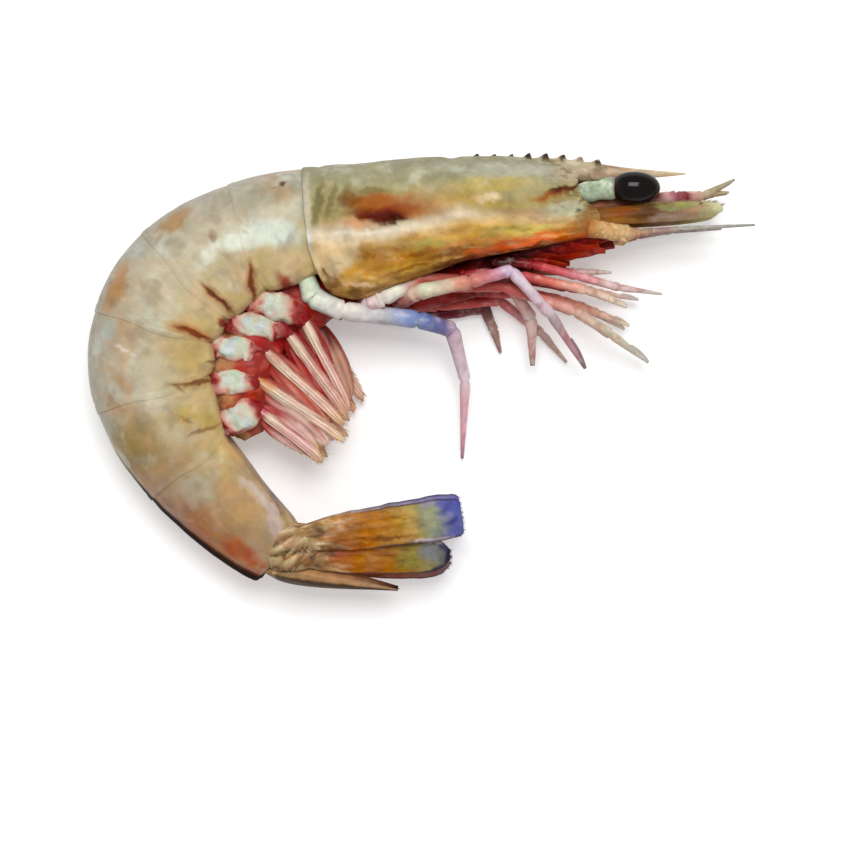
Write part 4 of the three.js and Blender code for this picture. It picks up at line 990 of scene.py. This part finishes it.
def fan_blade(name, length, shares, half_widths, half_thicknesses, pose, stops, edge, seed):
    grid, share, across, face = blade_grid(length, shares, half_widths, half_thicknesses, 170, 64)
    rib = bump(across - 0.05, 0.08) + 0.4 * bump(across - 0.45, 0.06) + 0.4 * bump(across + 0.4, 0.06)
    rib = rib * (1.0 - ease(0.6, 0.95, share))
    veins = np.sin(38.0 * across + 3.0 * share) * (1.0 - np.abs(across)) * ease(0.2, 0.5, share)
    grid[..., 2] += np.sign(face) * (0.14 * rib + 0.04 * veins)
    grid[..., 2] += 0.25 * np.sin(3.0 * share + seed) * share + 0.25 * across * share
    ragged = noise(np.stack([share * length, across, 0 * share + seed], -1), 1.6, 75) * ease(0.1, 0.3, share)
    grid[..., 1] += 0.12 * ragged * across
    strand = stretch(grid, 0.22)
    tint = ramp(np.clip(share + 0.08 * cloud(grid, 2.5, 70 + seed) + 0.03 * across, 0, 1), stops)
    placed = place(grid, *pose)
    if name.endswith("right") or name == "telson":
        tint = mark(placed, tint, FAN_MARKS, 2.6)
    tint = blend(tint, "#5e3010", 0.35 * rib)
    # Near the root the blade gets painted creases over the wrinkle noise, like the base: dark crease shade
    # and pale fold-top highlight.
    wrinkle = cloud(stretch(placed, 0.45), 0.9, 89)
    crease_shade_and_highlight = ramp(np.clip(0.5 + wrinkle, 0, 1),
                   [(0.0, "#4e3a20"), (0.4, "#8a6c46"), (0.7, "#b4966a"), (1.0, "#dcc8a2")])
    tint = blend(tint, crease_shade_and_highlight, 0.85 * ease(0.3, 0.12, share + 0.3 * cloud(stretch(placed, 0.4), 1.6, 90)))
    near_root = 1.0 - ease(0.6, 0.9, share)
    tint = patch(tint, "#6a3810", 0.38 * near_root, strand, 1.2, 73 + seed, 0.05, 0.55)
    tint = patch(tint, "#cf9c56", 0.3 * near_root, strand, 0.9, 83 + seed, 0.1, 0.55)
    tint = patch(tint, "#45210a", 0.4 * (1.0 - ease(0.65, 0.95, share)), strand, 0.5, 63 + seed, 0.12, 0.5)
    tint = blend(tint, edge, 0.85 * ease(0.86, 0.99, np.abs(across)) * ease(0.25, 0.6, share))
    # Painted shade with the telson's own dark edge: its face turned towards -y by the roll, away from the key
    # light, is blended to near black past the root.
    if name == "telson":
        tint = blend(tint, "#33281c", 0.9 * ease(0.2, 0.55, face + 0.15 * wrinkle) * ease(0.04, 0.12, share))
    skin = Skin()
    skin.add(placed, shade(tint, 0.3 * cloud(grid, 1.2, 93 + seed)))
    rng = np.random.default_rng(100 + seed)
    count = 110
    along = np.sort(rng.uniform(0.4, 1.0, count))
    half = curve(shares, half_widths)(along) * np.where(rng.uniform(size=count) < 0.8, -1, 1)
    tail = rng.uniform(size=count) < 0.35
    along[tail] = 1.0
    half[tail] = rng.uniform(-1, 1, tail.sum()) * half_widths[-1]
    roots = np.stack([along * length * 0.995, half * 0.94, 0.25 * np.sin(3.0 * along + seed) * along], -1)
    roots[:, 2] += 0.25 * along * np.sign(half) * (~tail)
    leans = 0.35 * np.sign(half) * (~tail)
    bristles(skin, roots, leans, pose, rng.uniform(0.3, 0.6, count), BRISTLE_RADIUS, "#6a5a5a")
    skin.make(name, FAN_SKIN)


UPPER_FAN = [(0.0, "#8a7250"), (0.08, "#9a6a40"), (0.2, "#a8683a"), (0.45, "#a8681e"), (0.6, "#a87e34"),
             (0.74, "#948c58"), (0.82, "#868c7b"), (0.9, "#666894"), (1.0, "#4c5296")]
LOWER_FAN = [(0.0, "#8a6c48"), (0.12, "#9c5c2e"), (0.35, "#a25c1a"), (0.6, "#9c6018"), (0.78, "#8c7a3a"),
             (0.9, "#747666"), (1.0, "#3c3850")]
FAR_FAN = [(0.0, "#8a8a78"), (0.3, "#a09a98"), (0.6, "#948ca4"), (1.0, "#6a68a8")]
FAR_LOWER_FAN = [(0.0, "#8a6c48"), (0.3, "#a85a3c"), (0.7, "#b06a58"), (1.0, "#7c6a70")]
for side, sign in SIDES:
    near = sign > 0
    fan_blade(f"uropod_outer_{side}", 26.5, [0, 0.25, 0.8, 0.97, 1], [1.6, 2.7, 3.3, 3.1, 2.5],
              [1.0, 0.6, 0.45, 0.35, 0.2], (-2.4, -49.6, 3.6 * sign, 7.5 if near else 8.8, 0, 0),
              UPPER_FAN if near else FAR_FAN, "#33283c", 1)
    fan_blade(f"uropod_inner_{side}", 24.4, [0, 0.25, 0.75, 0.93, 1], [1.6, 2.6, 3.0, 2.3, 0.9],
              [0.9, 0.6, 0.45, 0.3, 0.2],
              (-2.4, -52.4 if near else -53.0, 2.1 * sign, 0.5 if near else -1.0, 0, 0),
              LOWER_FAN if near else FAR_LOWER_FAN, "#231d38", 2)
fan_blade("telson", 21.5, [0, 0.14, 0.35, 0.7, 1], [1.6, 2.8, 2.5, 1.5, 0.3],
          [0.5, 1.5, 1.7, 1.1, 0.3], (-7.57, -54.6, 0, -8.5, 0, 90),
          [(0.0, "#a08660"), (0.3, "#9a7650"), (0.7, "#98694a"), (1.0, "#3e2018")],
          "#a8825c", 3)


def fan_root():
    """The wrinkled base that carries the tail fan."""
    skin = Skin()
    share = np.linspace(0, 1, 80)
    dive = 1.7 * ease(0.5, 0.95, share) + 1.3 * ease(0.3, 0.0, share)
    for sign in (1, -1):
        height = 2.2 + 0.5 * np.sin(np.pi * share) - dive
        path = np.stack([-7.2 + 8.6 * share, -51.6 + 0.9 * share, height * sign], -1)
        radius = curve([0, 0.15, 0.5, 0.8, 0.95, 1], [2.2, 3.4, 3.7, 3.3, 2.2, 0.6])(share)
        grid = tube(path, radius, 80, 0.62)
        x, y, z = np.moveaxis(grid, -1, 0)
        slant = np.stack([x + 0.7 * y, y - 0.7 * x, z], -1)
        fold = np.abs(cloud(slant * np.array([0.3, 0.8, 0.6]), 1.3, 81))
        grid = grid + 0.9 * fold[..., None] * np.array([0.2, 0.4, sign])
        # Painted shade and highlight over the folds: near black in the creases between them, pale on their
        # tops.
        tint = ramp(fold, [(0.0, "#3a2a16"), (0.08, "#786042"), (0.22, "#a68c66"), (0.4, "#b89e74"),
                           (0.6, "#d8c49c")])
        tint = patch(tint, "#9a5a34", 0.5, grid, 2.0, 87, 0.05, 0.5)
        towards_blades = ease(0.5, 0.85, share[:, None] + 0.5 * cloud(stretch(grid, 0.5), 1.4, 88))
        tint = blend(tint, "#a8703c", 0.75 * towards_blades)
        skin.add(grid, tint)
    skin.make("fan_root", FAN_SKIN, False)


fan_root()


# Eyes, feelers and mouthparts

def eye(side, sign):
    rows = np.linspace(0.0, np.pi, 60)[:, None]
    angle = around(72)
    x = -np.cos(rows) * np.ones_like(angle)
    y = np.sin(rows) * np.cos(angle)
    z = np.sin(rows) * np.sin(angle)
    flat = 1.0 - 0.12 * ease(0.2, 1.0, -x)
    grid = np.stack([51.05 + 4.15 * x * flat, 5.95 + 2.6 * y, 4.4 * sign + 2.8 * z], -1)
    tint = ramp(np.clip(0.5 - 0.5 * x, 0, 1),
                [(0.0, "#0e0605"), (0.7, "#0c0505"), (0.92, "#1c100c"), (1.0, "#5a4630")])
    skin = Skin()
    skin.add(grid, tint)
    skin.make(f"eye_{side}", EYE_SKIN)


def eyestalk(side, sign):
    path = np.array([[41.2, 4.9, 2.4], [44.0, 5.4, 3.1], [46.5, 5.8, 3.9], [48.3, 6.1, 4.3]]) * [1, 1, sign]
    share = np.linspace(0, 1, 50)
    radius = curve([0, 0.3, 0.55, 0.8, 1], [1.2, 1.7, 1.5, 1.8, 1.5])(share)
    grid = tube(smooth_path([0, 0.35, 0.7, 1], path, 50), radius, 40)
    grid = grid + 0.1 * noise(grid, 1.0, 91)[..., None]
    light = cloud(grid, 1.2, 92)
    tint = ramp(np.clip(0.55 + 0.9 * light, 0, 1), [(0.0, "#80907a"), (0.5, "#b0bea0"), (1.0, "#e0e4d2")])
    tint = blend(tint, "#5a3c28", 0.7 * bump(share[:, None] - 0.98, 0.06))
    skin = Skin()
    skin.add(grid, tint)
    skin.make(f"eyestalk_{side}", STALK_SKIN)


SCALE_MARKS = [
    ("#8a4416", 624, 213, 18, 5, 4, 0.8), ("#5a3710", 646, 214, 22, 5, 5, 0.85),
    ("#8c9050", 674, 206, 22, 3.6, 5, 0.8), ("#8a7468", 672, 217, 26, 4, 8, 0.75),
    ("#4e2a14", 650, 207, 10, 3, 4, 0.6), ("#a8755a", 690, 211, 12, 4, 8, 0.5),
    ("#3c332a", 700, 205, 3, 2, 0, 0.8),
]


def antennal_scale(side, sign):
    shares = [0, 0.2, 0.6, 0.92, 1]
    half_widths = [0.9, 1.35, 1.55, 1.15, 0.4]
    length = 21.6
    grid, share, across, face = blade_grid(length, shares, half_widths, [0.5, 0.45, 0.4, 0.3, 0.2], 130, 56)
    rib = bump(across - 0.55, 0.12) + 0.7 * bump(across + 0.1, 0.1)
    grid[..., 2] += np.sign(face) * 0.14 * rib * (1 - ease(0.8, 1.0, share))
    tint = ramp(np.clip(share + 0.06 * cloud(grid, 1.6, 95), 0, 1),
                [(0.0, "#7a4a1c"), (0.2, "#8a5a24"), (0.45, "#6c4a20"), (0.7, "#8a7450"), (0.88, "#a0946a"),
                 (1.0, "#b9b48c")])
    pose = (43.6, 1.3, 4.0 * sign, 3.8, 0, 0)
    placed = place(grid, *pose)
    tint = mark(placed, tint, SCALE_MARKS)
    skin = Skin()
    skin.add(placed, shade(tint, 0.3 * cloud(stretch(grid, 0.35), 1.0, 96)))
    rng = np.random.default_rng(7)
    count = 90
    along = np.sort(rng.uniform(0.35, 1.0, count))
    roots = np.stack([along * length, 0.96 * curve(shares, half_widths)(along), 0 * along], -1)
    bristles(skin, roots, np.full(count, 0.4), pose, rng.uniform(0.5, 1.0, count), 0.06, "#a08a68")
    skin.make(f"antennal_scale_{side}", FEELER_SKIN)


def antennule(side, sign):
    heights = np.array([1.5, 1.5, 1.6, 2.0]) * sign
    joints = limb_path([44.2, 3.0, 1.55 * sign], [8, 6, 4.2, 5.6], [6.5, 6.5, 5, 27], heights)
    skin = Skin()
    stops = [(0.0, "#8a5a34"), (0.3, "#8a4a38"), (0.46, "#6a2a26"), (0.52, "#c89a98"), (0.57, "#a8646e"),
             (0.64, "#742824"), (0.69, "#b8807a"), (0.77, "#b8a888"), (0.85, "#a89a78"), (1.0, "#8f8f7c")]
    add_limb(skin, joints, [1.2, 1.2, 1.15, 0.7, 0.2], stops, 24)
    second = joints[-2] + np.array([[0, 0, 0], [2.2, 0.5, -0.3 * sign], [4.2, 0.6, -0.4 * sign]])
    add_limb(skin, second, [0.55, 0.4, 0.18], [(0.0, "#8f8460"), (1.0, "#a89c74")], 14)
    skin.make(f"antennule_{side}", FEELER_SKIN)


def antenna(side, sign):
    lengths = [6.2, 2.4, 6.4, 12] if sign > 0 else [6.2, 2.4, 5.6, 8.0]
    heights = np.array([3.2, 3.0, 2.4, 2.0]) * sign
    joints = limb_path([43.6, -0.2, 4.0 * sign], lengths, [-9, 4, 6, 3], heights)
    skin = Skin()
    stops = [(0.0, "#b06a34"), (0.06, "#c89858"), (0.22, "#d4ae78"), (0.3, "#b08a66"), (0.42, "#9c8478"),
             (0.58, "#a8a498"), (1.0, "#8f948f")]
    path = add_limb(skin, joints, [1.5, 1.3, 0.6, 0.36, 0.2], stops, 28)
    rng = np.random.default_rng(11)
    along = np.linspace(-1, 1, 7)
    for _ in range(110):
        root = path[int(rng.uniform(6, 30))] + np.array([rng.uniform(-0.2, 0.2), 0.0, 0.0])
        turn = rng.uniform(0, 2 * np.pi)
        size = rng.uniform(0.35, 0.75)
        centre = root + (1.42 - 0.86 * size) * np.array([0.0, math.cos(turn), math.sin(turn)])
        ball = size * np.stack([along, 0 * along, 0 * along], -1)
        grid = tube(centre + ball, size * np.sqrt(1.02 - along ** 2), 10)
        skin.add(grid, linear("#d8b480") * rng.uniform(0.7, 1.15))
    skin.make(f"antenna_{side}", FEELER_SKIN)


def mouthparts():
    skin = Skin()
    # Near black at the roots under the shell and red towards the tips: the dark roots are partly their own
    # deep red and partly painted shade.
    stops = [(0.0, "#2e0808"), (0.35, "#540c08"), (0.7, "#741609"), (1.0, "#983622")]
    rng = np.random.default_rng(21)
    for k in range(7):
        for sign in (1, -1):
            long = rng.uniform(8.5, 12.0)
            grid, share, _, _ = blade_grid(long, [0, 0.3, 0.7, 1], [0.7, 1.2, 1.1, 0.5],
                                           [0.5, 0.8, 0.6, 0.3], 48, 24)
            grid = grid + 0.2 * wavy(grid + 7.0 * k, 1.8, 99)
            tint = ramp(np.clip(share + 0.3 * cloud(grid + 5.0 * k, 1.6, 97), 0, 1), stops)
            tint = patch(tint, "#b83430", 0.4, grid + 3.0 * k, 1.0, 87, 0.1, 0.5)
            tint = shade(tint, 0.3 * cloud(grid + 3.0 * k, 0.8, 98))
            heading = -5 + 1.6 * k + rng.uniform(-3, 3)
            pose = (29.5 + 1.75 * k, -5.2 + 0.6 * k, sign * (0.7 + 0.3 * k), heading, 0, sign * (50 - 5 * k))
            skin.add(place(grid, *pose), tint)
    skin.make("mouthparts", MEMBRANE_SKIN)


for side, sign in SIDES:
    eye(side, sign)
    eyestalk(side, sign)
    antennal_scale(side, sign)
    antennule(side, sign)
    antenna(side, sign)
mouthparts()


# Floor, light and camera

FLOOR_HALF = 2
floor_mesh = bpy.data.meshes.new("floor")
floor_corners = [(FLOOR_HALF * x, FLOOR_HALF * y, 0) for x, y in ((-1, -1), (1, -1), (1, 1), (-1, 1))]
floor_mesh.from_pydata(floor_corners, [], [(0, 1, 2, 3)])
floor = bpy.data.objects.new("floor", floor_mesh)
bpy.context.scene.collection.objects.link(floor)
paper = bpy.data.materials.new("floor_paper")
paper.use_nodes = True
set_sockets(paper.node_tree.nodes["Principled BSDF"], {
    "Base Color": (0.8, 0.8, 0.8, 1.0), "Roughness": 0.9, "Specular IOR Level": 0.0,
    "Emission Color": (1.0, 1.0, 1.0, 1.0), "Emission Strength": 0.28})
floor_mesh.materials.append(paper)

world = bpy.data.worlds.new("studio")
bpy.context.scene.world = world
world.use_nodes = True
set_sockets(world.node_tree.nodes["Background"], {"Color": (1.0, 1.0, 1.0, 1.0), "Strength": 0.55})

MIDDLE = np.array([0.0017, -0.0095, 0.008])
TO_LIGHT = np.array([0.02, 0.24, 0.56])
light = bpy.data.lights.new("key", "AREA")
light.shape = "SQUARE"
light.size = 0.3
light.energy = 2.5
lamp = bpy.data.objects.new("key", light)
bpy.context.scene.collection.objects.link(lamp)
lamp.location = MIDDLE + TO_LIGHT
tilt = math.acos(TO_LIGHT[2] / np.linalg.norm(TO_LIGHT))
lamp.rotation_euler = (tilt, 0.0, math.atan2(TO_LIGHT[0], -TO_LIGHT[1]))

VIEW_WIDTH = PHOTO_SIZE * PIXEL * MM
camera_data = bpy.data.cameras.new("camera")
camera_data.lens = 100.0
camera_data.sensor_width = 36.0
camera = bpy.data.objects.new("camera", camera_data)
bpy.context.scene.collection.objects.link(camera)
camera.location = MIDDLE + np.array([0.0, 0.0, VIEW_WIDTH * camera_data.lens / camera_data.sensor_width])
camera_data.clip_start = 0.01
bpy.context.scene.camera = camera
bpy.context.scene.view_settings.view_transform = "Standard"
